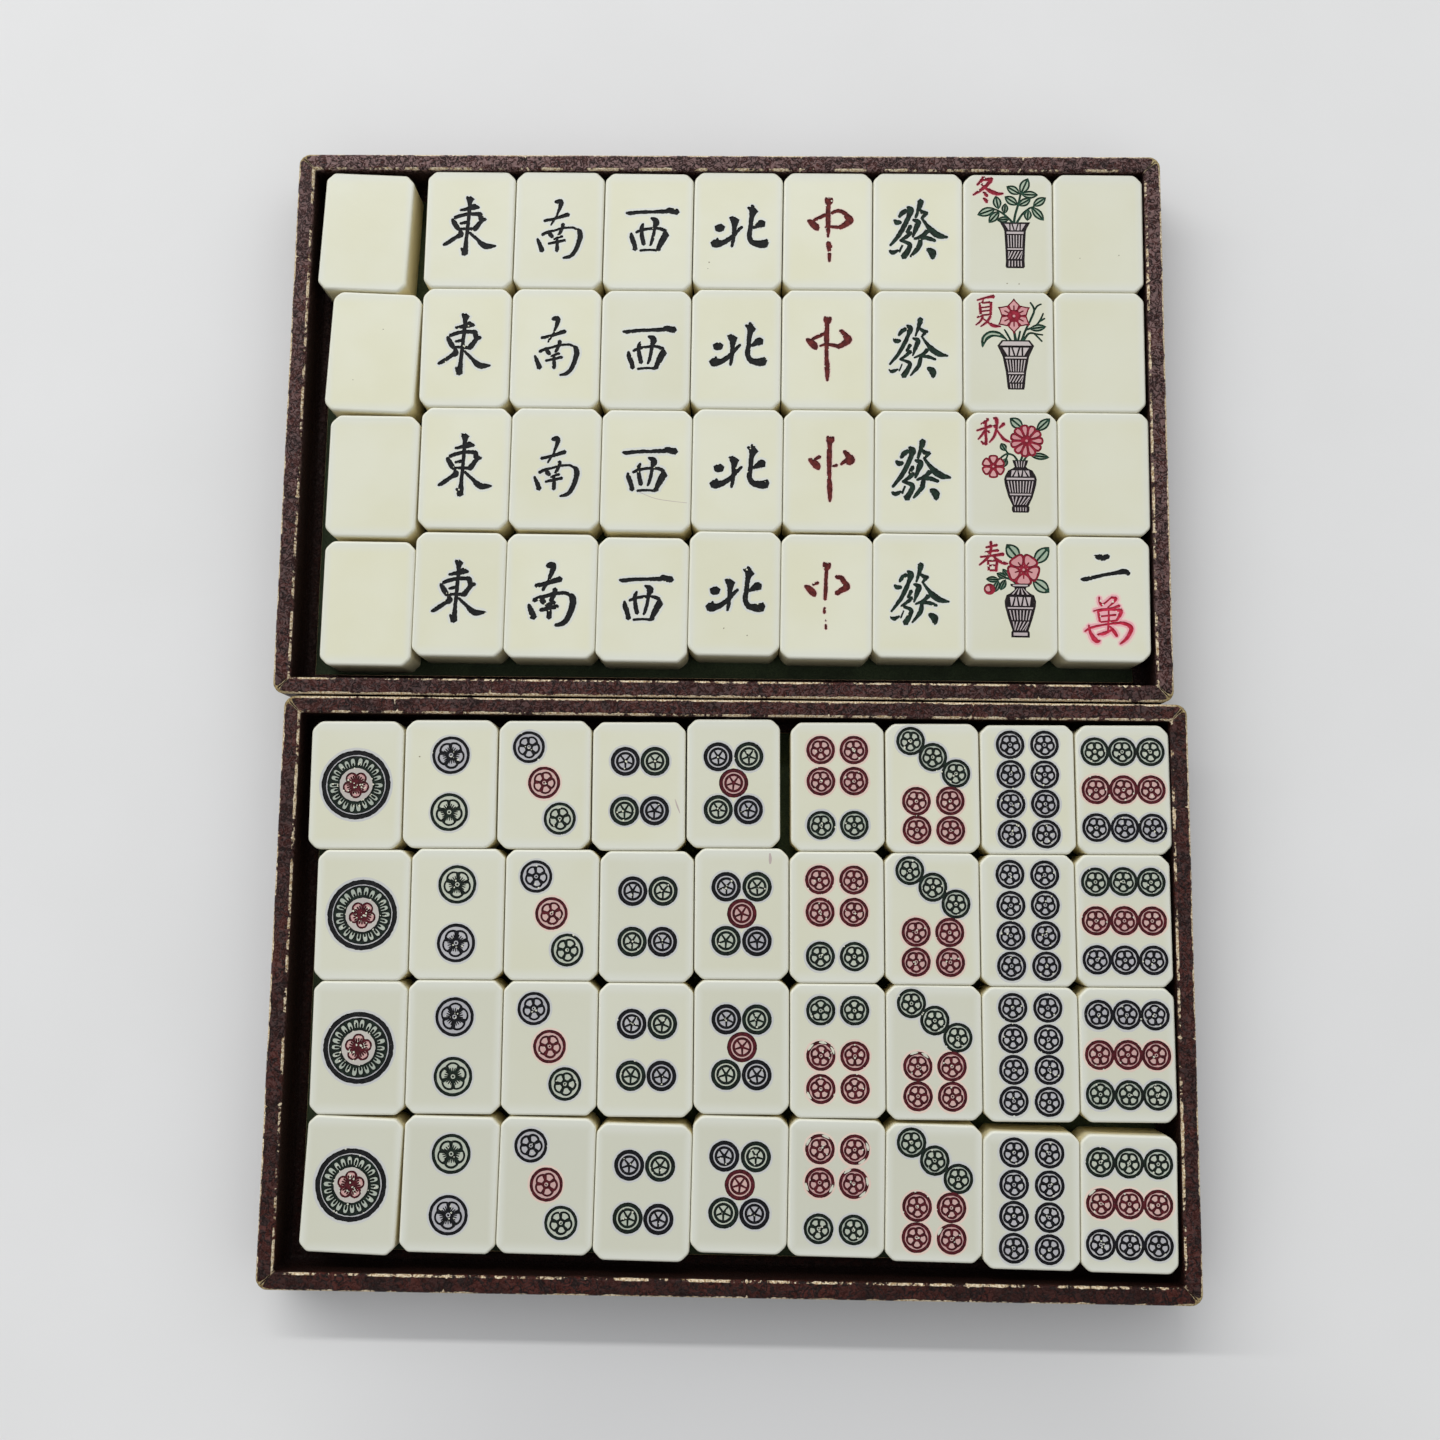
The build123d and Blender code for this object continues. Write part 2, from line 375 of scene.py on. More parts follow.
# %% Curves and brush strokes
def smooth(points, steps, closed=False):
    """Points on a smooth curve through the given rows of numbers, some steps for each span."""
    rows = [np.array(p, float) for p in points]
    count = len(rows)
    spans = count if closed else count - 1
    out = []
    for i in range(spans):
        if closed:
            a, b, c, d = (rows[(i + k) % count] for k in (-1, 0, 1, 2))
        else:
            a, b, c, d = (rows[min(max(i + k, 0), count - 1)] for k in (-1, 0, 1, 2))
        for k in range(steps):
            t = k / steps
            out.append(0.5 * (
                2 * b + (c - a) * t + (2 * a - 5 * b + 4 * c - d) * t ** 2 + (3 * b - a - 3 * c + d) * t ** 3
            ))
    if not closed:
        out.append(rows[-1])
    return out


def brush(points, steps=6, wobble=0.07):
    """The outline of a stroke through (x, y, width) points, with round ends and uneven edges."""
    rows = smooth(points, steps)
    left, right = [], []
    for i, (x, y, width) in enumerate(rows):
        ahead = rows[min(i + 1, len(rows) - 1)][:2] - rows[max(i - 1, 0)][:2]
        ahead /= max(np.hypot(*ahead), 1e-6)
        side = np.array([-ahead[1], ahead[0]])
        half = max(width, 0.12) / 2
        rough = wobble * min(1.0, width)
        left.append(np.array([x, y]) + side * (half + dice.uniform(-rough, rough)))
        right.append(np.array([x, y]) - side * (half + dice.uniform(-rough, rough)))
        if i == 0:
            start = np.array([x, y]) - ahead * half * 0.7
        end = np.array([x, y]) + ahead * half * 0.7
    return [start, *right, end, *reversed(left)]


def circle(x, y, radius, count=32, wobble=0.0):
    """A circle, counted anticlockwise."""
    out = []
    for i in range(count):
        angle = 2 * math.pi * i / count
        r = radius + dice.uniform(-wobble, wobble)
        out.append((x + r * math.cos(angle), y + r * math.sin(angle)))
    return out


def turned(points, x, y, degrees, scale=1.0):
    """Points turned about the origin, scaled and then moved to x, y."""
    c, s = math.cos(math.radians(degrees)) * scale, math.sin(math.radians(degrees)) * scale
    return [(x + px * c - py * s, y + px * s + py * c) for px, py in points]


print("A quarter turn takes (1, 0) to", [round(v, 3) for v in turned([(1, 0)], 0, 0, 90)[0]])

# %% Written strokes and rubbed paint
def written(strokes, centre, size, degrees=0.0):
    """Strokes drawn on a 100 by 100 grid, read from its top left, put on the tile at that size."""
    outlines = []
    for stroke in strokes:
        places = [((x / 100 - 0.5) * size[0], (0.5 - y / 100) * size[1]) for x, y, _ in stroke]
        places = turned(places, *centre, degrees)
        outlines.append(brush([(x, y, width) for (x, y), (_, _, width) in zip(places, stroke)]))
    return outlines


def scuffed(shapes, count):
    """The same shapes with small places along their painted edges where the paint has come away."""
    painted = [outline for ink, outline in shapes if ink in ENAMELS]
    spots = []
    for _ in range(count):
        x, y = dice.choice(dice.choice(painted))
        spots.append(("ivory", circle(x, y, dice.uniform(0.1, 0.26), 7, 0.06)))
    return shapes + spots


print("Tools for written strokes and for scuffs are ready")

# %% [markdown]
# ## The wind and dragon signs
# These are the traditional signs of the game: east, south, west and north in black, the red dragon
# and the green dragon. The white dragon of this set is a blank face. Each stroke starts heavy and
# thins out where the brush would leave the paper. The grid points are read one by one.

# %% Strokes of the east and south winds
EAST = [
    [(41.5, 1.5, .5), (46, 6, 1.2)],
    [
        (48, 4.5, 2.1), (47.4, 12.7, 1.0), (47, 27, .8), (45.7, 45, .8), (44.7, 60, .85), (43.6, 73, .8),
        (43, 85, 1.2), (42, 95.5, 1.6),
    ],
    [(35, 86, .4), (38.5, 92, .8), (41, 96, 1.2)],
    [(30, 23.6, .5), (42.5, 21.5, .9), (54, 18.5, 1.5), (65, 19, .6)],
    [(55, 14.5, .8), (58, 18, 1.2)],
    [
        (20, 36.4, .8), (30, 33, .9), (44.7, 30, .8), (59.6, 29.5, .9), (67, 30, 1.1), (69, 34.5, 1.2),
        (71.3, 38.5, 1.2), (78.7, 38.2, .7),
    ],
    [(15.5, 38.5, .6), (19, 43.6, 1.1), (24.5, 51, 1.2), (28.7, 55.5, .9)],
    [(71.3, 40, 1.0), (66, 46.4, 1.1), (59.6, 53.6, 1.3), (56.4, 55.5, .8)],
    [(27.7, 55.5, .7), (38.3, 54.2, .6), (51, 54.2, .7), (58.5, 55, .8)],
    [(31, 45.5, .5), (38.3, 44.3, .7), (45, 42.7, .6)],
    [
        (31, 57, .6), (32.5, 63.5, 1.6), (24.5, 68.2, .9), (14, 74.5, 1.0), (6.4, 79, .9), (0.6, 81, .5),
    ],
    [
        (49, 60, .5), (57.4, 66.4, .7), (66, 72.7, .8), (72.3, 78.2, 1.3), (80.9, 82.4, 1.5),
        (89.4, 82.4, 1.2), (100, 81.8, .3),
    ],
]
SOUTH = [
    [
        (38.8, 4.7, .8), (47.5, 3.8, 1.5), (51.5, 6, 1.4), (50, 13, 1.0), (45, 23.6, .6), (43.5, 28, .5),
        (36, 37, .6), (31, 44, .4),
    ],
    [(16, 36.8, .8), (30, 34.5, .8), (45, 31.5, .8), (58.8, 27.7, 1.1), (68.8, 25.5, 1.2)],
    [
        (12.5, 60.4, .8), (25, 55.7, .8), (40, 52.8, .6), (55, 49, .7), (67.5, 48, .6), (80, 47.7, .6),
        (88.8, 51, .6),
    ],
    [(2.5, 67, .5), (6.3, 73.6, 1.0), (11.3, 82, 1.2), (13.8, 87.7, 1.4)],
    [
        (88.8, 50, .6), (93.8, 53.8, 1.3), (96.3, 61.3, 1.4), (93.8, 70.8, 1.3), (90, 80.2, 1.2),
        (83.8, 89.6, 1.1), (75, 96.2, 1.0), (60, 99, .5),
    ],
    [(26.3, 53.8, .6), (31.3, 60.4, 1.2), (36.3, 64.2, .8)],
    [(57.5, 41.5, 1.0), (56.3, 48, .9), (51, 57.5, .8), (47.5, 60.4, .5)],
    [(38.8, 68, .5), (47.5, 65, .6), (57.5, 62.8, .7)],
    [(27.5, 75.5, .7), (45, 72.3, .7), (63.8, 68.9, .8)],
    [(45, 65, .6), (46.3, 76.4, .9), (46.3, 87.7, 1.0)],
]
print("East and south have", len(EAST) + len(SOUTH), "strokes")

# %% Strokes of the west and north winds
WEST = [
    [
        (1, 14, .5), (8, 15, 1.0), (20.5, 13, .95), (36.6, 11.2, .9), (51, 10.8, .8), (63.4, 9.7, 1.0),
        (76, 9, 1.1), (81.3, 6.5, 1.5), (90, 8.6, 1.6), (97.3, 9.7, 1.7),
    ],
    [
        (48.2, 24.7, .5), (56.3, 29, 1.5), (58, 35.5, 1.7), (56.3, 42, 1.1), (55.4, 49.5, .8),
        (53.6, 64.5, .8), (51, 77.4, .8), (48.2, 86, .5),
    ],
    [(34, 37.6, .5), (31.3, 46.2, 1.0), (31.3, 56, .9), (33, 68.8, 1.1), (36.3, 83.9, 1.1)],
    [
        (20.9, 57.6, .6), (29.5, 52.7, .8), (40.2, 49.5, .7), (51, 47.7, .7), (61.6, 47.3, .7),
        (70.5, 49.5, .9), (76.8, 53.8, .9),
    ],
    [(12, 59, .5), (13.4, 68.8, 1.2), (17, 79.6, 1.2), (19.6, 88.2, 1.1), (20.5, 95.7, 1.3)],
    [(77.7, 59, 1.8), (74.1, 66.7, 1.7), (69.6, 77.4, 1.6), (65.2, 88.2, 1.2), (63.4, 95.7, 1.3)],
    [(29.8, 97.8, .6), (40.2, 96.3, .6), (51, 95.7, .55), (61.6, 96.8, .7)],
]
NORTH = [
    [(8.6, 53.5, 1.8), (13, 55.6, 2.1), (19, 53.6, 1.9)],
    [(31, 31, .5), (36, 33.3, 1.5)],
    [
        (39.7, 36, 2.5), (39.7, 44.8, 1.6), (39, 56.3, 1.1), (38.8, 65.5, 1.0), (38, 79.3, .8),
        (37, 88.5, .8), (35.3, 98.9, .5),
    ],
    [
        (2.6, 90.8, 2.0), (9.5, 92, 2.2), (19.8, 89.7, 1.4), (28.4, 82.8, 1.2), (37, 73.6, 1.0),
        (44.8, 62, .8), (52.6, 51.7, .6),
    ],
    [(10.3, 79.3, .4), (9.5, 87, 1.0)],
    [(62, 7, .5), (68, 11, 1.2)],
    [(69, 1, .5), (71, 8, 1.2)],
    [
        (72, 13, 2.6), (69.8, 24, 1.4), (68, 38, 1.1), (67.2, 54, 1.1), (65.5, 67.8, 1.2), (66.4, 79.3, 1.2),
        (71.6, 88.5, 1.4), (78.4, 90.8, 1.7), (87, 92, 2.1), (94.8, 89.7, 2.1),
    ],
    [(95, 81, .5), (95, 88, 1.2)],
    [(71.6, 54.5, .6), (78.4, 49.4, 1.3), (85.3, 44.8, 2.2), (88.8, 47.6, 1.8)],
]
print("West and north have", len(WEST) + len(NORTH), "strokes")

# %% Strokes of the dragons
# The red dragon's parts: its paint is broken in another way on each of the four tiles
RED_LEFT = [(2, 36, .8), (10, 40, 1.6), (19, 46, 1.8), (23, 50.5, 1.0)]
RED_RIGHT = [
    (84, 25, 1.0), (90, 31, 1.6), (95, 36, 1.9), (88, 41, 1.6), (79, 45, 1.3), (71, 47.5, 1.1),
]
RED_UPPER_LEFT = [(14, 36, .6), (26, 32, .9), (42, 27, .8)]
RED_UPPER_RIGHT = [(54, 25, .7), (66, 21.5, .9), (77, 22.5, 1.0), (86, 26.5, 1.2)]
RED_HEAD = [(42, 1.5, .7), (48, 6.5, 2.1), (55, 2.5, .8)]
RED_STEM = [(47, 5, 1.7), (47, 13, 1.1), (46.5, 26, 1.2), (46.5, 40, 1.2), (46.5, 54, .9)]
RED_FOOT = [(46.5, 64, .8), (47.5, 72, 1.2), (48, 80, 1.3), (48.5, 91, 1.0), (48.5, 99.5, .5)]
RED_DRAGONS = {
    "red_dragon_1": [
        RED_HEAD, RED_STEM, RED_LEFT, RED_RIGHT, RED_UPPER_LEFT, RED_UPPER_RIGHT,
        [(46, 70, 1.0), (48.5, 77, 1.4), (47.5, 84, .6)], [(49, 87, .9), (48.5, 99.5, .6)],
        [(46.5, 54, .9), (46, 62, .4)], [(40, 46.8, .5), (52, 46, .7), (68, 47, .9)],
    ],
    "red_dragon_2": [
        RED_HEAD, RED_STEM, RED_LEFT, RED_RIGHT, RED_UPPER_LEFT, RED_UPPER_RIGHT[2:], RED_FOOT,
        [(46.5, 52, 1.0), (46.5, 66, .9)], [(31, 46.5, .4), (46, 43.5, .7), (70, 46, 1.0)],
    ],
    "red_dragon_3": [
        RED_HEAD, RED_STEM, RED_LEFT, RED_RIGHT[1:4], RED_UPPER_LEFT[:2], RED_FOOT,
        [(79, 23.5, .9), (86, 28, 1.3), (91, 34, 1.7)], [(46.5, 52, 1.0), (46.5, 66, .9)],
        [(54, 46.5, .5), (64, 44.5, .7)], [(72, 43.5, .5), (80, 39, .9), (88, 35, 1.2)],
    ],
    "red_dragon_4": [
        RED_HEAD, [(47, 5, 1.7), (47.5, 14, .9), (46.5, 28, .9), (46, 42, 1.0), (45, 56, .9)], RED_LEFT,
        [(68, 22, .9), (80, 24, 1.3), (86, 30, 1.4), (92, 37, 1.7), (80, 42, 1.4), (69, 47, 1.2)],
        [(18, 34.5, .6), (30, 31, .8)], [(44.5, 68, .6), (43.5, 76, .7)], [(47, 86, .4), (47, 87.5, .4)],
        [(47, 93, .6), (47.5, 99.5, .6)],
    ],
}
GREEN_DRAGON = [
    [(30, 12.7, .5), (35.5, 18, 1.6), (32.5, 28.6, 1.0), (25.4, 44, 1.05), (15, 61.4, .9), (1, 78, .4)],
    [(16, 30, .5), (21.3, 22.8, 1.1), (28.4, 18.5, .9)],
    [(7.5, 35.3, .5), (12, 39, 1.2), (19, 38.6, .7)],
    [(52.7, 1.5, 1.4), (52.7, 5.8, 1.4), (50, 15, .9), (44.6, 30.5, .4)],
    [(51.7, 17.4, .5), (57.8, 21.8, 1.0), (65, 22.8, .8)],
    [(60.9, 24.7, .9), (55.8, 30.5, .5)],
    [(54.8, 30, .4), (62.9, 41, .7), (74, 52.7, 1.5), (85, 59.5, 1.4), (100, 62.4, .4)],
    [(40, 34, .4), (48.7, 38, 1.3), (45.6, 48, 1.1), (40, 63, .3)],
    [(36, 44.6, .9), (29.8, 55.6, .6)],
    [(36.5, 55.6, 1.0), (29.4, 62.4, .8), (18.3, 69.5, .5)],
    [(19, 69, .5), (34.5, 75, 1.0), (32.5, 84.6, 1.1), (24.3, 97, 1.5)],
    [(0, 86.5, .4), (6, 89.4, 1.0), (15.2, 85.5, .35)],
    [(22.3, 76.8, .25), (17.2, 88.4, .3)],
    [(65, 52.7, 1.1), (56.8, 60.4, .8), (42.6, 66.2, .4)],
    [(52.7, 64.3, .5), (66, 64.3, .9), (79, 68.7, .6)],
    [(53.8, 63.3, .7), (50.7, 78.8, 1.1), (36.5, 95.8, .35)],
    [(66, 82.6, .8), (74, 88.4, 1.9), (75, 98, .8)],
]
print(len(RED_DRAGONS), "red dragons and a green one of", len(GREEN_DRAGON), "strokes")

# %% Strokes of the two of characters
NUMERAL_TWO = [
    [(28, 9.5, .4), (34.5, 13.5, 1.2), (46, 15, 1.5), (57, 9.5, 1.0)],
    [(0, 97, .4), (8, 97, 1.0), (28, 88, .8), (52, 77, .75), (72, 70, .9), (90, 63.5, 1.3), (100, 73, .9)],
]
CHARACTER = [
    [(31.6, 1.3, .35), (33, 12, .6), (37, 18.7, .7)],
    [(36, 19.5, .5), (46, 12, .4), (56.6, 2.7, .4)],
    [(57, 1.9, .5), (67, 3.5, .8), (62.4, 12, .5), (50, 22.7, .3)],
    [(20, 31.2, .4), (33, 27.5, .4), (59, 24, .5), (74.5, 18.7, .8)],
    [(29, 30, .5), (31, 41.3, .6), (33, 52.5, .5)],
    [(29, 31.2, .4), (54, 27.5, .5), (79, 28.5, 1.0)],
    [(79, 30.7, .9), (73.7, 41.3, .8), (67.6, 50.7, .5)],
    [(35.5, 41.9, .4), (67, 38, .5)],
    [(35, 54, .4), (66.6, 50, .5)],
    [(51.8, 30.7, .4), (51.8, 49.3, .5), (50, 76, .5)],
    [
        (1, 74, .4), (14.5, 65.9, .6), (38, 60, .5), (61.8, 56, .6), (83, 55.2, .8), (97.4, 62, 1.1),
        (97.4, 73.3, 1.0), (88, 88, .8), (75.5, 98.7, .35),
    ],
    [(9.7, 60.5, .4), (12.4, 74.7, .7), (19.7, 88, 1.2), (27.6, 94, 1.0), (33.4, 92.5, .3)],
    [(28, 80, .4), (41, 77.3, .9), (58, 70, .4)],
    [(54, 62.7, .4), (61.8, 72, .9), (69, 82.7, .7)],
]
print("The two has", len(NUMERAL_TWO), "strokes and the sign under it", len(CHARACTER))

# %% [markdown]
# ## The season signs
# Each season tile has its own sign in red at the upper left, and beside it a vase with a plant.
# The plants and vases here are plain ones drawn for this set from leaves, petals and bands:
# leafy branches for winter, a star-shaped flower for summer, daisies for autumn and a blossom for spring.

# %% Strokes of the season signs
WINTER = [
    [(36.4, 2.3, .8), (27, 18, .7), (13.8, 34, .35)],
    [(33, 12.7, .5), (51.4, 11.4, .8), (62.8, 9, .9)],
    [(60.7, 12.7, .8), (47.4, 31.8, .8), (25, 54.5, .7), (1, 72.7, .3)],
    [(28.3, 29.5, .4), (43.3, 45.5, .7), (63.6, 60, 1.0), (83.8, 66, .8), (100, 64.5, .3)],
    [(34, 61.4, .3), (41.3, 67.3, .8), (47.4, 76.4, .6)],
    [(35.2, 84, .3), (43.3, 91.8, .8), (47.4, 100, .6)],
]
SUMMER = [
    [(8, 15, .35), (30, 10, .5), (55.6, 5, .6), (74.6, 3.3, 1.0)],
    [(33.3, 13.9, .4), (27.6, 23.4, .4)],
    [(18, 24, .5), (20, 44, .6), (22.2, 63, .6)],
    [(63.5, 21.4, .7), (62, 41.6, .6), (60.3, 61.7, .6)],
    [(18, 25, .35), (42.9, 22.7, .4), (63.5, 21, .6)],
    [(23.8, 38.5, .35), (58.7, 35.3, .35)],
    [(23.8, 50.4, .35), (58.7, 47, .35)],
    [(23.2, 63, .4), (60.3, 59.7, .4)],
    [(7.3, 69.8, .35), (18, 65.5, .5), (27.6, 64.2, .35)],
    [(30, 66.8, .5), (19, 81.9, .5), (1, 93.2, .25)],
    [(60.3, 65.5, .6), (46, 83, .6), (20.6, 98, .25)],
    [(30, 73, .3), (52.4, 85.6, .5), (71.4, 95.7, .9), (100, 98, .3)],
]
AUTUMN = [
    [(34, 6.3, .7), (23.8, 17.7, .6), (13, 24.9, .3)],
    [(0, 47.7, .35), (17.9, 41, .5), (44, 30.6, .7)],
    [(27.4, 16.3, .5), (26.4, 49, .6), (27.4, 80.6, .6), (26.2, 97, .8)],
    [(23, 47.7, .4), (14.3, 64.9, .5), (3.6, 79, .25)],
    [(29.3, 46.3, .3), (38, 53.4, .6)],
    [(12.6, 85.7, .3), (20.2, 94.9, .6)],
    [(51.2, 2, .5), (59.5, 9, .9), (59.5, 32, .6), (56, 54.9, .6), (48.8, 73.4, .5), (36.9, 89.7, .25)],
    [(81.7, 22, .8), (74.5, 30.6, .6), (67, 38.3, .3)],
    [(51.7, 27.7, .6), (54.8, 37.7, .3)],
    [(60.7, 46.3, .3), (71.4, 64.9, .5), (82, 79, .7), (100, 88.6, .25)],
]
SPRING = [
    [(25, 20.4, .4), (44.2, 16, .5), (63.5, 12, .6)],
    [(22.7, 36, .4), (44.2, 32, .5), (67.8, 29.8, .6)],
    [(5.6, 52, .4), (42, 47.7, .5), (85, 41.7, .8)],
    [(42, 1, .6), (42, 25.5, .6), (31.3, 53, .6), (1.3, 78.7, .3)],
    [(48.5, 47.7, .4), (67.8, 63.8, .7), (87, 71.5, .7), (100, 73, .3)],
    [(31.3, 63.8, .4), (34.3, 95.7, .5)],
    [(62.7, 63, .6), (59.2, 97.9, .6)],
    [(31.3, 64.7, .4), (62.7, 63, .5)],
    [(34.3, 80, .35), (59.2, 78.7, .35)],
    [(34.3, 95.7, .4), (59.2, 95.3, .4)],
]
print("Season signs have", sum(map(len, (WINTER, SUMMER, AUTUMN, SPRING))), "strokes")

# %% Leaves and stalks
LINE = 0.48  # millimetres, the width of a drawn line


def leaf(base, tip, width):
    """A pointed leaf: a green outline and midrib, with a paler half on each side of the rib."""
    (x, y), (tx, ty) = base, tip
    length = math.hypot(tx - x, ty - y)
    degrees = math.degrees(math.atan2(ty - y, tx - x))
    width += 0.25
    outer, upper = [], []
    # The outline, from the base to the tip and back
    for k in range(9):
        t = k / 8
        outer.append((t * length, width / 2 * math.sin(math.pi * t) ** 0.8))
    outer += [(px, -py) for px, py in reversed(outer[1:-1])]
    # The paler half above the rib; the one below it is its mirror image
    rib = LINE * 0.55
    for k in range(7):
        t = 0.17 + 0.62 * k / 6
        bulge = width / 2 * math.sin(math.pi * t) ** 0.8 - LINE * 1.15
        upper.append((t * length, max(bulge, rib + 0.04)))
    upper = [(upper[0][0], rib), (upper[-1][0], rib)] + list(reversed(upper))
    lower = [(px, -py) for px, py in reversed(upper)]
    return [
        ("leaf", turned(outer, x, y, degrees)),
        ("leaf_stain", turned(upper, x, y, degrees)),
        ("leaf_stain", turned(lower, x, y, degrees)),
    ]


def stem(*points):
    """A stalk through (x, y, width) points."""
    return ("leaf", brush([(x, y, width + 0.22) for x, y, width in points], 4, 0.04))


print("Leaves have an outline", LINE, "mm wide")

# %% Petals
# Half a petal as (share of its length, share of its width)
PETALS = {
    "round": [(0.12, 0.0), (0.45, 0.36), (0.72, 0.5), (0.93, 0.4), (1.0, 0.0)],
    "pointed": [(0.1, 0.0), (0.38, 0.42), (0.62, 0.46), (0.86, 0.16), (1.04, 0.0)],
}


def petals(x, y, count, radius, width, tilt, form, slit=None, line=LINE):
    """A flower of like petals: crimson outlines, pink inside, and a slit down each petal or none."""
    outer = [(px * radius, py * width) for px, py in PETALS[form]]
    # The pink inside keeps a line's width from the outline, and stays clear of the next petal
    slope = math.tan(math.pi / count)
    inner = [(min(max(px, 0.32 * radius), radius - line), py - line) for px, py in outer]
    inner = [(px, max(min(py, px * slope - line * 0.55), 0.0)) for px, py in inner]
    shapes = []
    for ink, half in (("crimson", outer), ("petal_stain", inner)):
        whole = half + [(px, -py) for px, py in reversed(half[1:-1])]
        if form == "round":
            whole = smooth(whole, 2, closed=True)
        shapes += [(ink, turned(whole, x, y, tilt + 360 * k / count)) for k in range(count)]
    if slit:
        cut = brush([(0.2 * radius, 0, .5), (slit * radius, 0, .36)], 2, 0)
        shapes += [("crimson", turned(cut, x, y, tilt + 360 * k / count)) for k in range(count)]
    shapes.append(("crimson", circle(x, y, radius * 0.24, 12)))
    shapes.append(("petal_stain", circle(x, y, radius * 0.08, 8)))
    return shapes


print(len(PETALS), "forms of petal")

# %% Vases
RIM_LINE = 0.55  # millimetres, the width of a vase's outline


def vase(x, profile, bands):
    """A vase: its outline from (y, half width) pairs, and bands of hatching between two heights.

    A band's pale cells are set out on a width from -1 to 1, at its top and at its bottom.
    """
    heights = [y for y, _ in reversed(profile)]
    halves = [half for _, half in reversed(profile)]

    def half_at(y):
        """Half the width inside the outline at a height."""
        return np.interp(y, heights, halves) - RIM_LINE

    edge = [(x - half, y) for y, half in profile] + [(x + half, y) for y, half in reversed(profile)]
    shapes = [("vase", edge)]
    for kind, top, bottom in bands:
        if kind == "plain":
            cells = [((-1, 1), (-1, 1))]
        elif kind == "upright":
            count = max(4, round(half_at((top + bottom) / 2) * 2 / 0.76))
            step = 2 / count
            cells = [((-1 + (k + 0.32) * step, -1 + (k + 0.68) * step),) * 2 for k in range(count)]
        elif kind == "slanted":
            cells = []
            for k in range(-1, 6):
                low, high = -1 + k * 0.42, -1 + k * 0.42 + 0.16
                cells.append(((low + 0.55, high + 0.55), (low, high)))
        else:
            # Zigzag: three pale triangles point down, and between them two point up
            count = 3
            step = 2 / count
            cells = []
            for k in range(count):
                left, right = -1 + k * step, -1 + (k + 1) * step
                middle = (left + right) / 2
                cells.append(((left + 0.15, right - 0.15), (middle - 0.03, middle + 0.03)))
                cells.append(((right - 0.03, right + 0.03), (middle + 0.18, right + step / 2 - 0.18)))
            cells = cells[:-1]
        for (top_left, top_right), (low_left, low_right) in cells:
            corners = [(top_left, top), (low_left, bottom), (low_right, bottom), (top_right, top)]
            corners = [(min(max(u, -0.98), 0.98), v) for u, v in corners]
            shape = [(x + u * half_at(v), v) for u, v in corners]
            if abs(shape[3][0] - shape[0][0]) + abs(shape[2][0] - shape[1][0]) > 0.1:
                shapes.append(("vase_stain", shape))
    return shapes


print("Vases are hatched with upright, slanted, zigzag and plain bands")

# %% Signs and the stains round them
SCUFFS = 8


def sign(strokes, ink, centre, size, halo=None, spread=0.5, bolder=0.0, haze=0.0):
    """A written sign, with a stain round it where paint has soaked into the ivory."""
    centre = (centre[0] + dice.uniform(-0.2, 0.2), centre[1] + dice.uniform(-0.2, 0.2))
    size = (size[0] * dice.uniform(0.98, 1.02), size[1] * dice.uniform(0.98, 1.02))
    degrees = dice.uniform(-1.2, 1.2)
    shapes = []
    strokes = [[(x, y, width + bolder) for x, y, width in stroke] for stroke in strokes]
    for stain, more in (("haze", haze), (halo, spread)):
        if stain and more:
            wider = [[(x, y, width + more) for x, y, width in stroke] for stroke in strokes]
            shapes += [(stain, outline) for outline in written(wider, centre, size, degrees)]
    shapes += [(ink, outline) for outline in written(strokes, centre, size, degrees)]
    return scuffed(shapes, SCUFFS)


print("A sign has", SCUFFS, "scuffs")

# %% The face of winter
def winter_face():
    """Branches with pointed leaves in a straight vase."""
    shapes = [
        stem((1.3, 2.6, .5), (1.7, 5.2, .45), (2.6, 8.3, .4), (3.2, 11.3, .35)),
        stem((0.9, 2.8, .45), (-0.8, 4.6, .4), (-3.0, 6.2, .3), (-4.2, 6.4, .25)),
        stem((2.1, 2.8, .45), (3.6, 5.2, .4), (5.4, 6.8, .35), (6.8, 7.3, .3)),
    ]
    leaves = (
        ((3.2, 10.9), (5.2, 15.5), 2.6), ((3.0, 10.9), (-0.7, 13.1), 2.3), ((3.3, 10.8), (7.9, 10.7), 2.1),
        ((2.4, 7.8), (-1.2, 10.2), 2.3), ((2.5, 7.6), (5.9, 9.6), 2.1), ((-3.6, 6.7), (-8.6, 4.8), 2.4),
        ((-2.8, 6.5), (-3.6, 10.4), 2.2), ((-2.6, 6.0), (-5.5, 2.6), 2.2), ((-1.2, 5.2), (-1.0, 8.3), 1.7),
        ((0.2, 3.8), (-3.3, 3.4), 1.7), ((6.4, 7.5), (10.0, 10.0), 2.2), ((6.0, 7.3), (9.4, 3.4), 2.2),
        ((5.2, 6.6), (4.9, 3.3), 2.0),
    )
    for base, tip, width in leaves:
        shapes += leaf(base, tip, width)
    profile = [
        (2.9, 4.1), (2.5, 3.9), (1.2, 3.2), (0.4, 2.9), (-4.2, 2.65), (-8.0, 2.5), (-9.6, 2.6), (-10.1, 2.3),
    ]
    bands = [
        ("zigzag", 2.4, 0.6), ("plain", 0.2, -0.4), ("upright", -0.75, -4.2), ("plain", -4.5, -4.9),
        ("slanted", -5.3, -7.5), ("upright", -8.0, -9.6),
    ]
    shapes += vase(1.6, profile, bands)
    return shapes + sign(WINTER, "crimson", (-5.8, 12.0), (8.2, 7.5), "pink", 0.4, 0.2)


print("Winter: leafy branches")

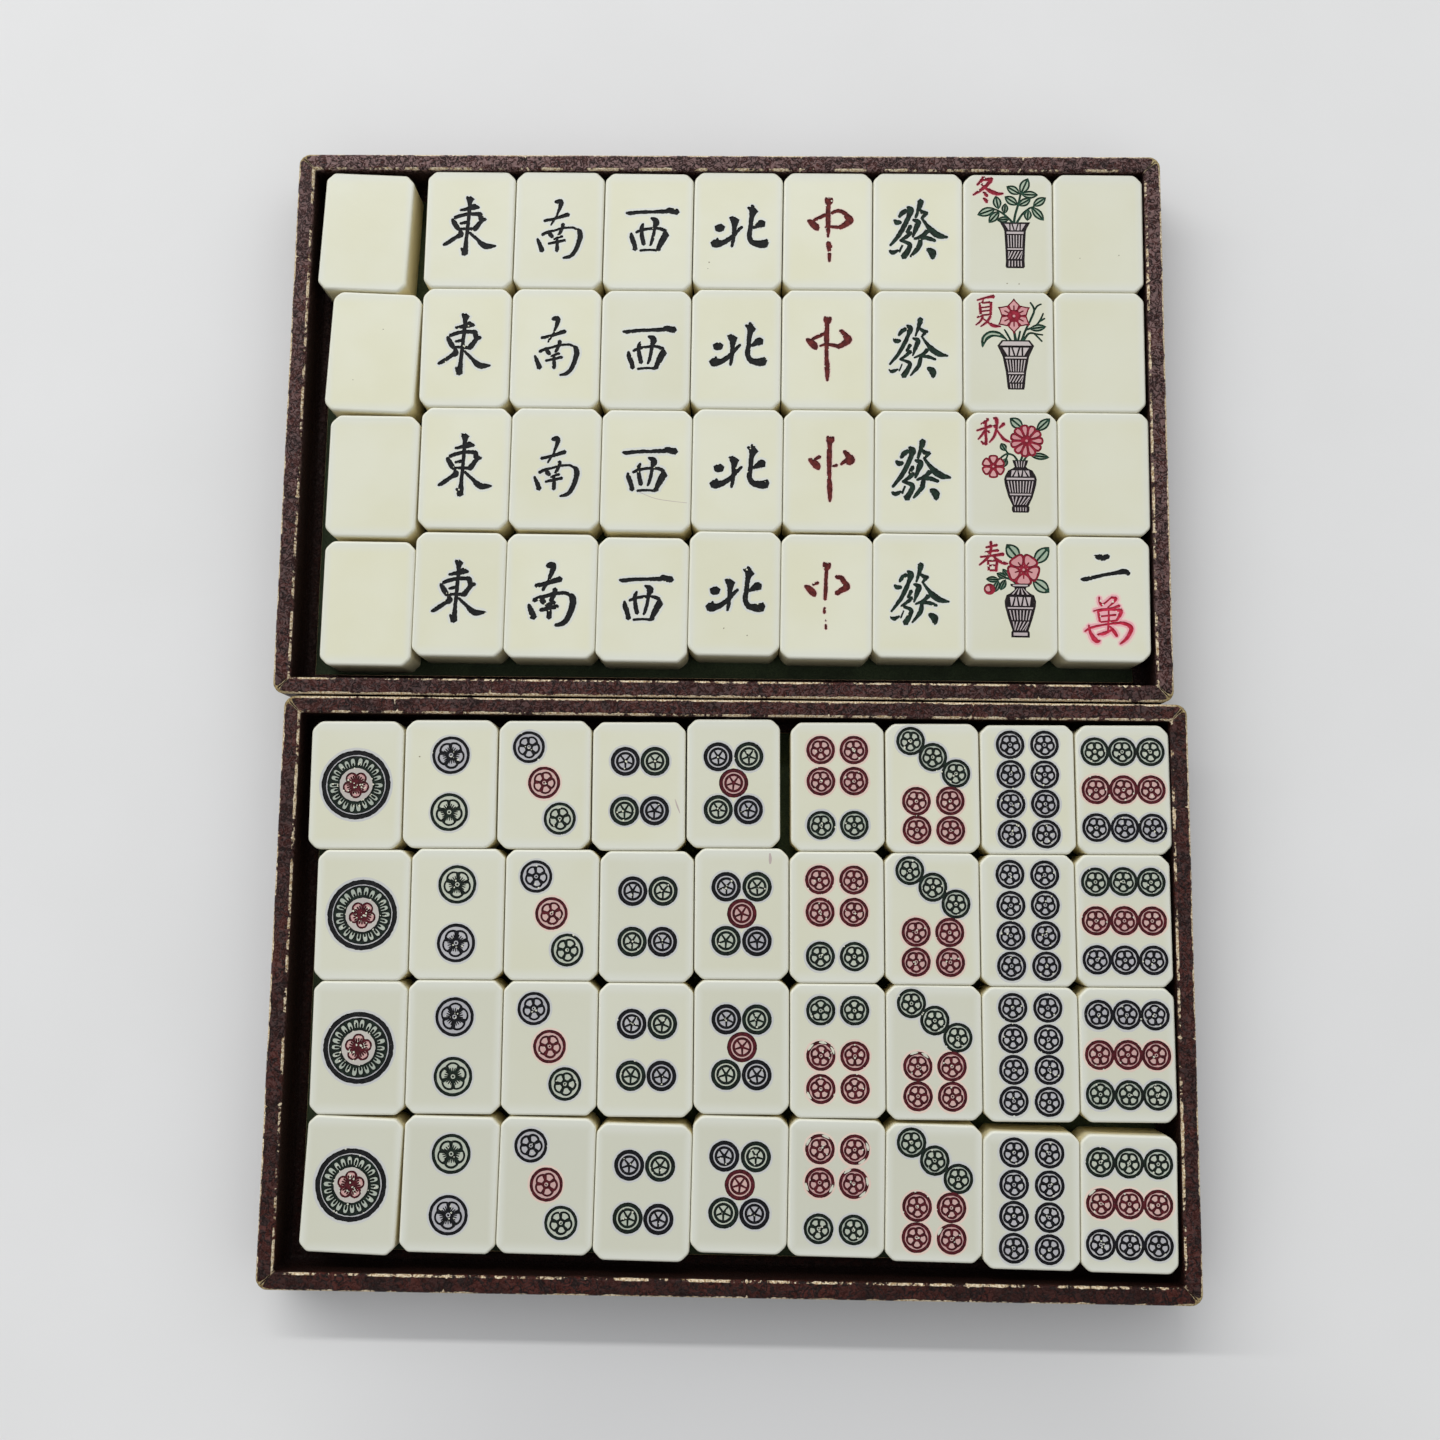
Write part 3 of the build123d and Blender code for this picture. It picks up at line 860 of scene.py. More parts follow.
# %% The face of summer
def summer_face():
    """A star-shaped flower, a long hanging leaf and thin stalks in a tapered vase."""
    shapes = [
        stem((1.6, 2.8, .6), (1.2, 5.4, .5)),
        stem((3.1, 2.8, .45), (4.4, 6.2, .4), (5.8, 9.2, .4), (6.6, 11.6, .35), (5.6, 13.6, .3)),
        stem((6.5, 11.2, .35), (7.4, 12.6, .3), (8.5, 13.2, .25)),
        stem((4.2, 5.9, .4), (6.8, 7.0, .35), (8.2, 8.8, .3), (9.0, 10.6, .25)),
        stem((7.8, 8.2, .3), (9.4, 9.2, .25)),
        stem((3.6, 2.9, .45), (5.2, 5.0, .4), (7.2, 4.8, .3), (8.8, 4.6, .25)),
        stem((6.6, 4.9, .3), (8.6, 2.8, .25)),
        stem((0.4, 2.8, .4), (-0.8, 5.0, .3), (-1.4, 6.0, .2)),
        stem((2.2, 2.8, .4), (2.8, 5.6, .3)),
    ]
    blade = [
        (-0.4, 2.9), (-2.6, 5.3), (-5.4, 5.6), (-7.5, 3.7), (-7.3, 0.9), (-6.0, 2.9), (-4.2, 4.0),
        (-2.0, 3.6),
    ]
    shapes.append(("leaf", smooth(blade, 3, True)))
    pale = [(-2.6, 4.5, .3), (-4.8, 4.8, .5), (-6.4, 3.9, .4), (-6.9, 2.6, .2)]
    shapes.append(("leaf_stain", brush(pale, 3, 0)))
    shapes += leaf((5.2, 6.2), (9.8, 6.9), 1.9)
    shapes += petals(1.2, 9.8, 6, 4.8, 3.6, 90, "pointed", 0.6)
    profile = [
        (3.1, 3.7), (2.7, 4.0), (1.5, 4.9), (1.1, 4.7), (-1.6, 3.5), (-5.9, 2.7), (-9.9, 2.3), (-10.6, 2.1),
    ]
    bands = [
        ("plain", 2.7, 1.6), ("zigzag", 1.0, -1.2), ("plain", -1.6, -2.0), ("upright", -2.4, -5.6),
        ("plain", -5.9, -6.3), ("slanted", -6.7, -8.6), ("upright", -9.0, -10.2),
    ]
    shapes += vase(1.6, profile, bands)
    return shapes + sign(SUMMER, "crimson", (-5.6, 11.2), (6.6, 8.7), "pink", 0.35, 0.1)


print("Summer: a star-shaped flower")

# %% The face of autumn
def autumn_face():
    """A large and a small daisy in a round-bellied vase."""
    shapes = [
        stem((1.9, 3.0, .45), (2.6, 4.8, .4), (3.3, 6.4, .35)),
        stem((1.2, 3.0, .45), (0.2, 4.6, .35), (-1.8, 5.0, .3), (-3.8, 3.4, .25)),
        stem((-1.2, 5.0, .3), (-2.0, 6.2, .25)),
        stem((-1.4, 4.9, .3), (-1.8, 3.6, .25)),
        stem((2.6, 3.0, .4), (3.8, 4.6, .35), (5.2, 4.8, .25)),
        stem((3.2, 10.4, .35), (2.6, 12.4, .3)),
        stem((5.6, 10.6, .35), (6.4, 12.0, .3)),
    ]
    leaves = (
        ((2.7, 12.0), (-0.8, 14.9), 2.7), ((6.2, 11.4), (9.9, 14.9), 2.4), ((4.4, 4.8), (9.6, 4.2), 1.8),
        ((-1.9, 5.8), (-3.2, 8.0), 1.7), ((-1.7, 4.0), (-2.7, 1.3), 1.6),
    )
    for base, tip, width in leaves:
        shapes += leaf(base, tip, width)
    shapes += petals(3.6, 8.7, 11, 4.5, 2.3, 0, "round", line=0.6)
    shapes += petals(-5.2, 1.6, 6, 3.2, 2.6, 90, "round", line=0.55)
    profile = [
        (3.4, 2.1), (3.0, 2.0), (1.6, 1.5), (1.2, 1.9), (0.6, 3.2), (-1.0, 4.1), (-1.8, 4.3), (-3.4, 4.1),
        (-6.6, 3.2), (-9.0, 2.1), (-9.3, 2.3), (-10.3, 2.3), (-10.8, 2.0),
    ]
    bands = [
        ("upright", 3.1, 1.5), ("zigzag", 0.6, -1.0), ("plain", -1.4, -1.9), ("upright", -2.3, -5.4),
        ("plain", -5.7, -6.1), ("slanted", -6.5, -8.7), ("upright", -9.4, -10.4),
    ]
    shapes += vase(1.9, profile, bands)
    return shapes + sign(AUTUMN, "crimson", (-4.9, 11.0), (8.9, 7.7), "pink", 0.35, 0.15)


print("Autumn: two daisies")

# %% The face of spring
def spring_face():
    """A five-petalled blossom and a bud in a footed vase."""
    shapes = [
        stem((2.0, 3.0, .5), (2.5, 4.4, .4)),
        stem((1.5, 3.0, .45), (-0.2, 4.4, .4), (-2.4, 5.0, .35), (-4.2, 4.2, .3)),
        stem((-0.6, 4.6, .35), (-1.6, 6.4, .3)),
    ]
    leaves = (
        ((1.8, 9.8), (-1.6, 14.0), 3.4), ((5.6, 8.8), (9.6, 13.4), 3.3), ((5.2, 4.6), (9.6, 1.2), 3.2),
        ((-1.6, 4.9), (-4.2, 6.2), 1.5), ((-1.8, 4.6), (-3.2, 1.6), 1.6), ((-3.4, 4.4), (-7.0, 4.6), 1.6),
        ((-3.6, 4.2), (-4.8, 1.0), 1.7), ((-1.2, 5.4), (-2.6, 7.4), 1.2),
    )
    for base, tip, width in leaves:
        shapes += leaf(base, tip, width)
    shapes += petals(2.9, 7.2, 5, 4.3, 4.5, 54, "round", 0.55, line=0.65)
    shapes += [("crimson", circle(-6.0, 1.9, 1.55, 14)), ("petal_stain", circle(-6.3, 2.0, 0.75, 10))]
    shapes.append(("crimson", brush([(-6.0, 3.0, .35), (-5.5, 1.0, .35)], 3, 0)))
    profile = [
        (3.4, 2.6), (2.8, 2.5), (2.4, 1.5), (1.8, 1.5), (0.9, 2.6), (0.4, 3.6), (-1.2, 4.1), (-2.6, 4.0),
        (-6.0, 3.1), (-9.0, 2.1), (-9.4, 2.4), (-10.8, 2.4),
    ]
    bands = [
        ("plain", 3.2, 2.8), ("upright", 2.2, 0.6), ("zigzag", -0.1, -2.4), ("plain", -2.8, -3.2),
        ("upright", -3.6, -6.2), ("slanted", -6.6, -8.9), ("plain", -9.5, -10.3),
    ]
    shapes += vase(2.0, profile, bands)
    return shapes + sign(SPRING, "crimson", (-5.1, 10.8), (7.7, 8.1), "pink", 0.35, 0.15)


print("Spring: a blossom and a bud")

# %% [markdown]
# ## The dots
# The dots stand for coins. Small coins have a rim and a five-petalled flower, the fours and fives
# have a wheel with five spokes, and the one of dots is a single large rosette. The cutter leaves
# thin ivory islands standing between the painted lines, and the rims run into each other.

# %% Coins with a flower
HALO = 0.5  # millimetres of soaked-in paint outside a coin's ring


def halos(places, radius):
    """Faint wide rings of paint soaked into the ivory, for under the coins."""
    return [
        ("warm_halo" if ink == "red" else "coin_halo", circle(x, y, radius + HALO, 40, 0.06))
        for x, y, ink in places
    ]


def flower_coin(x, y, ink, radius, ring, reach, line=0.58, stain="stain", stamens=False, tilt=-90.0):
    """A coin: a ring round a flower of five petals that reaches that far from the middle."""
    pale = f"{ink}_pale"
    x, y = x + dice.uniform(-0.08, 0.08), y + dice.uniform(-0.08, 0.08)
    tilt += dice.uniform(-6, 6)
    shapes = [
        (ink, circle(x, y, radius, 48, 0.04)),
        (f"{ink}_{stain}", circle(x, y, radius - ring, 40, 0.04)),
    ]
    # Five overlapping discs of ink make the outline of the flower
    for k in range(5):
        angle = math.radians(tilt + 72 * k)
        middle = (x + reach * 0.42 * math.cos(angle), y + reach * 0.42 * math.sin(angle))
        shapes.append((ink, circle(*middle, reach * 0.58, 20, 0.03)))
    # A pale petal is as wide as its neighbours allow, and round at its end
    hub = reach * 0.29
    far = reach - line
    near = reach * 0.37
    half = []
    for t in (0.0, 0.35, 0.7):
        r = near + (far - near) * t
        half.append((r, max(r * math.sin(math.radians(36)) - line / 2, 0.14) * (1 - 0.08 * t)))
    half += [(far - 0.06 * reach, half[-1][1] * 0.74), (far, half[-1][1] * 0.3)]
    petal = smooth(half + [(px, -py) for px, py in reversed(half)], 2, closed=True)
    for k in range(5):
        angle = tilt + 72 * k
        shapes.append((pale, turned(petal, x, y, angle + dice.uniform(-2, 2), dice.uniform(0.97, 1.02))))
        if stamens:
            for side in (-17, 0, 17):
                ray = brush([(hub, 0, .4), (reach * 0.6, 0, .26)], 2, 0)
                shapes.append((ink, turned(ray, x, y, angle + side)))
    shapes.append((pale, circle(x, y, hub * 0.55, 10)))
    shapes.append((ink, circle(x, y, hub * 0.3, 8)))
    return shapes


def coins(places, **style):
    """Flower coins at (x, y, ink), with their halos under them and their paint rubbed."""
    shapes = halos(places, style["radius"])
    for x, y, ink in places:
        shapes += flower_coin(x, y, ink, **style)
    return scuffed(shapes, 4 * len(places))


print("Coins have a halo of", HALO, "mm")

# %% Coins with a wheel
WHEEL_RADIUS = 3.78


def wheel_coin(x, y, ink, radius=WHEEL_RADIUS):
    """A coin with two thick rings and a wheel of five thin spokes."""
    stain = f"{ink}_pale"
    x, y = x + dice.uniform(-0.06, 0.06), y + dice.uniform(-0.06, 0.06)
    shapes = [
        (ink, circle(x, y, radius, 48, 0.04)),
        (stain, circle(x, y, radius * 0.735, 36, 0.02)),
        (ink, circle(x, y, radius * 0.65, 34, 0.02)),
        (stain, circle(x, y, radius * 0.47, 26, 0.03)),
        (ink, circle(x, y, 0.4, 8)),
    ]
    for k in range(5):
        spoke = brush([(0.1, 0, .64), (radius * 0.5, 0, .44)], 2, 0)
        shapes.append((ink, turned(spoke, x, y, -90 + 72 * k + dice.uniform(-6, 6))))
    return shapes


print("Wheels are", 2 * WHEEL_RADIUS, "mm wide")

# %% The rosette
ARCHES = 22


def rosette():
    """The one of dots: a black ring, a green band of arches and a red flower."""
    shapes = [
        ("coin_halo", circle(0, 0, 9.6, 60, 0.06)),
        ("black", circle(0, 0, 8.95, 84, 0.08)),
        ("navy_stain", circle(0, 0, 7.72, 70, 0.05)),
        ("green", circle(0, 0, 7.48, 66, 0.06)),
    ]
    arch = [(5.0, -0.4), (6.2, -0.52), (6.8, -0.3), (6.8, 0.3), (6.2, 0.52), (5.0, 0.4)]
    core = [(4.7, -0.24), (5.95, -0.3), (6.35, 0.0), (5.95, 0.3), (4.7, 0.24)]
    for k in range(ARCHES):
        angle = 360 * k / ARCHES + dice.uniform(-1.5, 1.5)
        shapes.append(("green_stain", turned(smooth(arch, 2, True), 0, 0, angle, dice.uniform(0.97, 1.02))))
        shapes.append(("green", turned(core, 0, 0, angle, dice.uniform(0.9, 1.02))))
    shapes.append(("ground", circle(0, 0, 4.3, 44, 0.06)))
    for k in range(5):
        angle = math.radians(-90 + 72 * k)
        shapes.append(("red", circle(1.95 * math.cos(angle), 1.95 * math.sin(angle), 1.6, 20, 0.04)))
    shapes.append(("red", circle(0, 0, 2.3, 24)))
    petal = [(1.1, -0.35), (1.9, -0.9), (2.9, -0.7), (2.9, 0.7), (1.9, 0.9), (1.1, 0.35)]
    for k in range(5):
        angle = -90 + 72 * k + dice.uniform(-3, 3)
        shapes.append(("red_stain", turned(smooth(petal, 2, True), 0, 0, angle)))
        for side in (-17, 0, 17):
            ray = brush([(0.8, 0, .5), (2.35, 0, .42)], 2, 0)
            shapes.append(("red", turned(ray, 0, 0, angle + side)))
    shapes.append(("red", circle(0, 0, 1.05, 16)))
    return scuffed(shapes, 40)


print("The rosette has", ARCHES, "arches")

# %% The ten faces of the dots
SMALL = {"radius": 3.7, "ring": 0.8, "reach": 2.76}


def grid(columns, rows, ink):
    """Places of coins of one ink in rows and columns."""
    return [(x, y, ink) for y in rows for x in columns]


def two_of_dots(upper, lower):
    """Two large flower coins in the given inks."""
    return coins(
        [(0.0, 7.4, upper), (0.0, -7.4, lower)],
        radius=4.9, ring=0.8, reach=3.62, line=0.6, stain="pale", stamens=True,
    )


def four_wheels(wide, high, shift=0.0):
    """Four wheels round a middle, navy and green crosswise."""
    places = [
        (shift - wide, high, "navy"), (shift + wide, high, "green"), (shift - wide, -high, "green"),
        (shift + wide, -high, "navy"),
    ]
    shapes = halos(places, WHEEL_RADIUS)
    for place in places:
        shapes += wheel_coin(*place)
    return scuffed(shapes, 12)


DOT_FACES = {
    "one": rosette,
    "two": lambda: two_of_dots("green", "navy"),
    "two_other_way": lambda: two_of_dots("navy", "green"),
    "three": lambda: coins(
        [(-4.1, 9.7, "navy"), (0.0, 0.4, "red"), (4.1, -8.8, "green")],
        radius=4.16, ring=0.78, reach=3.0, line=0.58, stain="pale", tilt=-80.0,
    ),
    "four": lambda: four_wheels(3.86, 6.4, 0.3),
    "five": lambda: four_wheels(3.9, 6.85) + wheel_coin(0.1, 0.0, "red"),
    "six": lambda: coins(grid((-4.3, 4.3), (9.4, 1.3), "red") + grid((-4.3, 4.3), (-9.9,), "green"), **SMALL),
    "seven": lambda: coins(
        [(-5.6, 12.1, "green"), (0.2, 7.9, "green"), (6.0, 3.7, "green")]
        + grid((-4.2, 4.4), (-3.4, -10.8), "red"), **SMALL,
    ),
    "eight": lambda: coins(grid((-4.4, 4.4), (11.5, 3.8, -3.8, -11.5), "navy"), **SMALL),
    "nine": lambda: coins(
        grid((-7.1, 0.0, 7.1), (9.8,), "green") + grid((-7.1, 0.0, 7.1), (0.0,), "red")
        + grid((-7.1, 0.0, 7.1), (-9.8,), "navy"), **SMALL,
    ),
}
print(len(DOT_FACES), "faces of dots defined")

# %% The faces of the far tray
# How much bolder than drawn a sign is, in millimetres: every tile was filled by hand
BOLDER = {
    "east_wind": 0.26, "south_wind": 0.12, "south_wind_4": 0.45, "west_wind": 0.16, "north_wind": 0.22,
    "red_dragon": 0.18, "red_dragon_4": 0.08, "green_dragon": 0.36, "green_dragon_2": 0.16,
    "green_dragon_4": 0.2,
}
WINDS = {
    "east_wind": (EAST, (0.1, 0.8), (14.4, 17.4)),
    "south_wind": (SOUTH, (0.2, 0.4), (12.2, 16.6)),
    "west_wind": (WEST, (0.7, 0.4), (14.4, 12.6)),
    "north_wind": (NORTH, (0.6, 1.1), (15.4, 12.0)),
}
SEASONS = {
    "season_winter": winter_face, "season_summer": summer_face,
    "season_autumn": autumn_face, "season_spring": spring_face,
}
BLANKS = ("white_dragon", "spare_blank")
FAR_KINDS = (*BLANKS, "red_dragon", "green_dragon", "two_of_characters", *WINDS, *SEASONS)


def sign_face(node, kind):
    """The shapes on the face of one tile of the far tray."""
    bolder = BOLDER.get(node, BOLDER.get(kind, 0.0))
    if kind in WINDS:
        strokes, centre, size = WINDS[kind]
        return sign(strokes, "black", centre, size, "cool", 1.3, bolder)
    if kind == "red_dragon":
        return sign(RED_DRAGONS[node], "dragon_red", (0.4, 0.4), (11.9, 18.1), "warm_halo", 0.5, bolder)
    if kind == "green_dragon":
        return sign(GREEN_DRAGON, "dragon_green", (0.35, 0.4), (15.5, 16.8), "cool", 1.1, bolder)
    if kind == "two_of_characters":
        number = sign(NUMERAL_TWO, "black", (0.2, 8.6), (12.4, 7.2), "cool", 1.0, 0.22)
        return number + sign(CHARACTER, "rose", (0.9, -5.6), (12.2, 12.8), "blush", 1.0, 0.08, 2.1)
    if kind in BLANKS:
        return []
    return [(ink, [(x + 0.3, y + 0.1) for x, y in outline]) for ink, outline in SEASONS[kind]()]


print(len(FAR_KINDS), "kinds of face for the far tray")

# %% [markdown]
# ## The body of a tile
# A tile is a thick slab whose four upright corners are cut at 45 degrees and then softened by
# tumbling, on some tiles more than on others. It could be a cube with bevels, but loops of points
# give full control: each loop is the same outline, a little further in or lower down, and
# neighbouring loops are joined by faces. The sizes are the CAD tile's, so every tile stays in place.

# %% Loops of the tile body
WIDTH, LENGTH, THICKNESS = 24.0, 33.2, 12.5
FACE_ROUNDING = 0.65
BACK_ROUNDING = 0.7
# Loops on the upright side, as (height, aged)
SIDE_LEVELS = ((10.5, 0.9), (8.0, 1.0), (3.5, 1.0))


def tile_outline(inset, cut, softness):
    """The outline in plan, that far inside the full size: eight corners, each softened by an arc."""
    half_w, half_l = WIDTH / 2 - inset, LENGTH / 2 - inset
    cut -= inset * (2 - math.sqrt(2))
    radius = max(softness - inset * 0.6, 0.3)
    corners = []
    for sx, sy in ((1, 1), (-1, 1), (-1, -1), (1, -1)):
        along, across = (half_w - cut, half_l), (half_w, half_l - cut)
        pair = (across, along) if sx * sy > 0 else (along, across)
        corners += [(sx * x, sy * y) for x, y in pair]
    points = []
    for i, here in enumerate(corners):
        here = Vector(here)
        before = (Vector(corners[i - 1]) - here).normalized()
        after = (Vector(corners[(i + 1) % 8]) - here).normalized()
        reach = radius * math.tan(math.radians(22.5))
        start, end = here + before * reach, here + after * reach
        for k in range(5):
            t = k / 4
            points.append(start * (1 - t) ** 2 + here * 2 * t * (1 - t) + end * t ** 2)
    return [(p.x, p.y) for p in points]


def tile_levels():
    """(inset, height, aged) for each loop, from the face down to the back."""
    levels = []
    for degrees in (0, 22, 45, 68, 90):
        a = math.radians(degrees)
        inset = FACE_ROUNDING * (1 - math.sin(a))
        levels.append((inset, THICKNESS - FACE_ROUNDING * (1 - math.cos(a)), degrees / 90 * 0.3))
    levels += [(0.0, height, age) for height, age in SIDE_LEVELS]
    for degrees in (90, 60, 30, 0):
        a = math.radians(degrees)
        levels.append((BACK_ROUNDING * (1 - math.sin(a)), BACK_ROUNDING * (1 - math.cos(a)), 1.0))
    return levels


print("A tile measures", WIDTH, "by", LENGTH, "by", THICKNESS, "mm, in", len(tile_levels()), "loops")

# %% [markdown]
# ## Cutting the signs into the face
# The face has to be real relief, because a picture of it would be lost on the exported model. All
# outlines are laid into one triangulation of the face. Each triangle takes the ink of the last
# outline that holds its middle. Painted triangles are lowered, and where a lowered triangle meets
# a higher one, a small wall closes the step.

# %% Lay the outlines into the face
def is_inside(points, outline):
    """Which points lie inside an outline, by how often it winds round them."""
    a = np.array(outline)
    b = np.roll(a, -1, axis=0)
    turns = np.zeros(len(points), int)
    for (ax, ay), (bx, by) in zip(a, b):
        left = (bx - ax) * (points[:, 1] - ay) - (points[:, 0] - ax) * (by - ay)
        turns += ((ay <= points[:, 1]) & (by > points[:, 1]) & (left > 0)).astype(int)
        turns -= ((ay > points[:, 1]) & (by <= points[:, 1]) & (left < 0)).astype(int)
    return turns != 0


def cut_face(shapes, rim):
    """Triangles of the face with their ink: points, triangles and one ink number for each."""
    points = [Vector(p) for p in rim]
    edges = [(i, (i + 1) % len(rim)) for i in range(len(rim))]
    for _, outline in shapes:
        first = len(points)
        points += [Vector(p) for p in outline]
        edges += [(first + i, first + (i + 1) % len(outline)) for i in range(len(outline))]
    made = delaunay_2d_cdt(points, edges, [], 0, 1e-5)
    spots = np.array([tuple(p) for p in made[0]])
    triangles = [tuple(t) for t in made[2]]
    middles = spots[np.array(triangles)].mean(axis=1)
    inks = np.zeros(len(triangles), int)
    for ink, outline in shapes:
        low, high = np.min(outline, axis=0), np.max(outline, axis=0)
        near = np.nonzero(((middles >= low) & (middles <= high)).all(axis=1))[0]
        if len(near):
            inks[near[is_inside(middles[near], outline)]] = INK_NAMES.index(ink)
    return spots, triangles, inks


trial = cut_face([("navy", [(-1, -1), (1, -1), (1, 1), (-1, 1)])], tile_outline(0.0, 2.0, 2.0))
print("A square of navy paint on a bare face makes", len(trial[1]), "triangles")

# %% Build a tile
CUT_DEPTH = 0.25
PLAIN = INK_NAMES.index("ivory")


def is_cut(ink_number):
    """Whether a place with this ink lies lower than the face: paint does, and stained ivory doesn't."""
    return INK_NAMES[ink_number] in ENAMELS


def find_rim(spots, rim):
    """The numbers of the rim's points after triangulation, in order."""
    return [int(np.argmin(np.hypot(*(spots - np.array(p)).T))) for p in rim]


def make_tile_shape(shapes):
    """Everything a tile mesh needs, in millimetres about the middle of its back."""
    levels = tile_levels()
    # Every tile's corners are cut and softened a little differently
    cut, softness = dice.uniform(1.95, 2.3), dice.uniform(1.5, 2.6)
    loops = [tile_outline(inset, cut, softness) for inset, _, _ in levels]
    spots, triangles, inks = cut_face(shapes, loops[0])
    points, aged, faces, paints, rounded = [], [], [], [], []
    seen = {}

    def point_at(spot, lowered):
        """The number of a point of the face, at its full height or lowered."""
        if (spot, lowered) not in seen:
            seen[spot, lowered] = len(points)
            points.append((*spots[spot], THICKNESS - CUT_DEPTH * lowered))
            aged.append(0.0)
        return seen[spot, lowered]

    def add_face(corners, ink, soft=False):
        """One face with its ink, shaded flat or soft."""
        faces.append(tuple(corners))
        paints.append(int(ink))
        rounded.append(soft)

    # The face, and the small walls between its lowered and its higher triangles
    edge_sides = {}
    for triangle, ink in zip(triangles, inks):
        lowered = is_cut(ink)
        add_face([point_at(spot, lowered) for spot in triangle], ink)
        for a, b in zip(triangle, triangle[1:] + triangle[:1]):
            edge_sides[a, b] = (lowered, ink)
    for (a, b), (lowered, _) in edge_sides.items():
        other = edge_sides.get((b, a))
        if not lowered and other and other[0]:
            wall = (point_at(b, False), point_at(a, False), point_at(a, True), point_at(b, True))
            add_face(wall, other[1])

    # The rounded edge, the sides and the back, loop by loop
    above = [point_at(i, False) for i in find_rim(spots, loops[0])]
    for loop, (_, height, age) in zip(loops[1:], levels[1:]):
        below = list(range(len(points), len(points) + len(loop)))
        points += [(x, y, height) for x, y in loop]
        aged += [age] * len(loop)
        for i in range(len(loop)):
            j = (i + 1) % len(loop)
            add_face((above[i], below[i], below[j], above[j]), PLAIN, soft=True)
        above = below
    add_face(reversed(above), PLAIN)
    return np.array(points), faces, paints, rounded, aged


print("Painted places are", CUT_DEPTH, "mm deep")

# %% Marks of single tiles
CHIP_RADIUS = 3.4  # millimetres from a small coin's middle, in the middle of its ring


def specks(*places):
    """Dark specks in the resin at (x, y, radius)."""
    return [("speck", circle(x, y, radius, 8, 0.04)) for x, y, radius in places]


def chips(x, y, *angles):
    """Places at these angles on a small coin's rim where the paint has come away."""
    shapes = []
    for middle in angles:
        arc = []
        for degrees, width in ((-16, .25), (0, .68), (16, .25)):
            angle = math.radians(middle + degrees)
            arc.append((x + CHIP_RADIUS * math.cos(angle), y + CHIP_RADIUS * math.sin(angle), width))
        shapes.append(("ivory", brush(arc, 4, 0.08)))
    return shapes


# A few tiles have marks of their own: a hairline crack, specks, brown stains and chipped paint
MARKS = {
    "west_wind_3": [
        ("ash", brush([(-1.8, -5.9, .1), (2.5, -7.6, .16), (7, -8.3, .14), (11, -8.7, .1)], 4, 0.02)),
    ],
    "north_wind_1": specks((-7.6, -9.2, 0.22), (-7.9, -11.0, 0.14)),
    "north_wind_4": specks((-2.6, -9.4, 0.2), (3.5, -11.2, 0.16)),
    "white_dragon_2": specks((2.2, 6.4, 0.16), (-4.8, -8.0, 0.13)),
    "spare_blank_1": specks((5.4, -6.3, 0.18), (-5.0, -7.2, 0.14)),
    "season_winter": specks((-0.3, -14.3, 0.2), (2.9, -14.4, 0.2)),
    "four_of_dots_1": [("ash", brush([(9.4, -3.4, .15), (10.0, -5.2, .4), (10.7, -7.0, .15)], 4, 0.04))],
    "five_of_dots_2": [("ash", brush([(7.2, 15.3, .4), (7.3, 13.9, .8), (7.25, 12.7, .4)], 4, 0.04))],
    "two_of_dots_1": specks((-8.1, 7.0, 0.2)),
    "six_of_dots_3": chips(4.3, 1.3, -100, -40, -155) + chips(4.3, 9.4, 30),
    "six_of_dots_4": (
        chips(-4.3, 9.4, 65, 150) + chips(4.3, 9.4, -55, 15) + chips(-4.3, 1.3, 200, 335)
        + chips(4.3, 1.3, 10, -50, 120)
    ),
    "seven_of_dots_3": chips(-4.2, -3.4, 55, 105),
    "nine_of_dots_4": chips(-7.1, 0.0, 130),
    "seven_of_dots_4": chips(4.4, -10.8, 150),
}
made = make_tile_shape(DOT_FACES["nine"]())
print("A nine of dots has", len(made[1]), "faces")

# %% [markdown]
# ## Where each tile lies
# The tiles' places come from the CAD nodes. A node may hold several separate tiles, so its points
# are first grouped into connected solids. The middle of a tile's top face is its place, and the
# long direction of that face is its turn. Both are exact, so nothing is fitted by eye.

# %% Find the tiles' places
def tiles_in(node):
    """(x, y, turn) in millimetres and radians for each tile in a CAD node, far ones first."""
    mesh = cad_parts[node].data
    points = np.array([v.co for v in mesh.vertices]) / MM
    names = [tuple(p) for p in np.round(points, 3)]
    parent = {name: name for name in names}

    def root(name):
        """The one point that stands for all the points of a solid."""
        while parent[name] != name:
            parent[name] = parent[parent[name]]
            name = parent[name]
        return name

    # Points of one polygon belong to one solid
    for polygon in mesh.polygons:
        first = root(names[polygon.vertices[0]])
        for corner in polygon.vertices[1:]:
            parent[root(names[corner])] = first
    solids = {}
    for name in parent:
        solids.setdefault(root(name), []).append(name)
    found = []
    for members in solids.values():
        members = np.array(members)
        top = members[members[:, 2] > members[:, 2].max() - 0.01][:, :2]
        middle = top.mean(axis=0)
        spread = np.cov((top - middle).T)
        along = np.linalg.eigh(spread)[1][:, -1]
        along = along if along[1] > 0 else -along
        found.append((*middle, math.atan2(-along[0], along[1])))
    return sorted(found, key=lambda place: -place[1])


print("The ones of dots lie at", [[round(float(v), 2) for v in place] for place in tiles_in("one_of_dots")])

# %% Make a tile in its place
LINING_TOP = 4.0


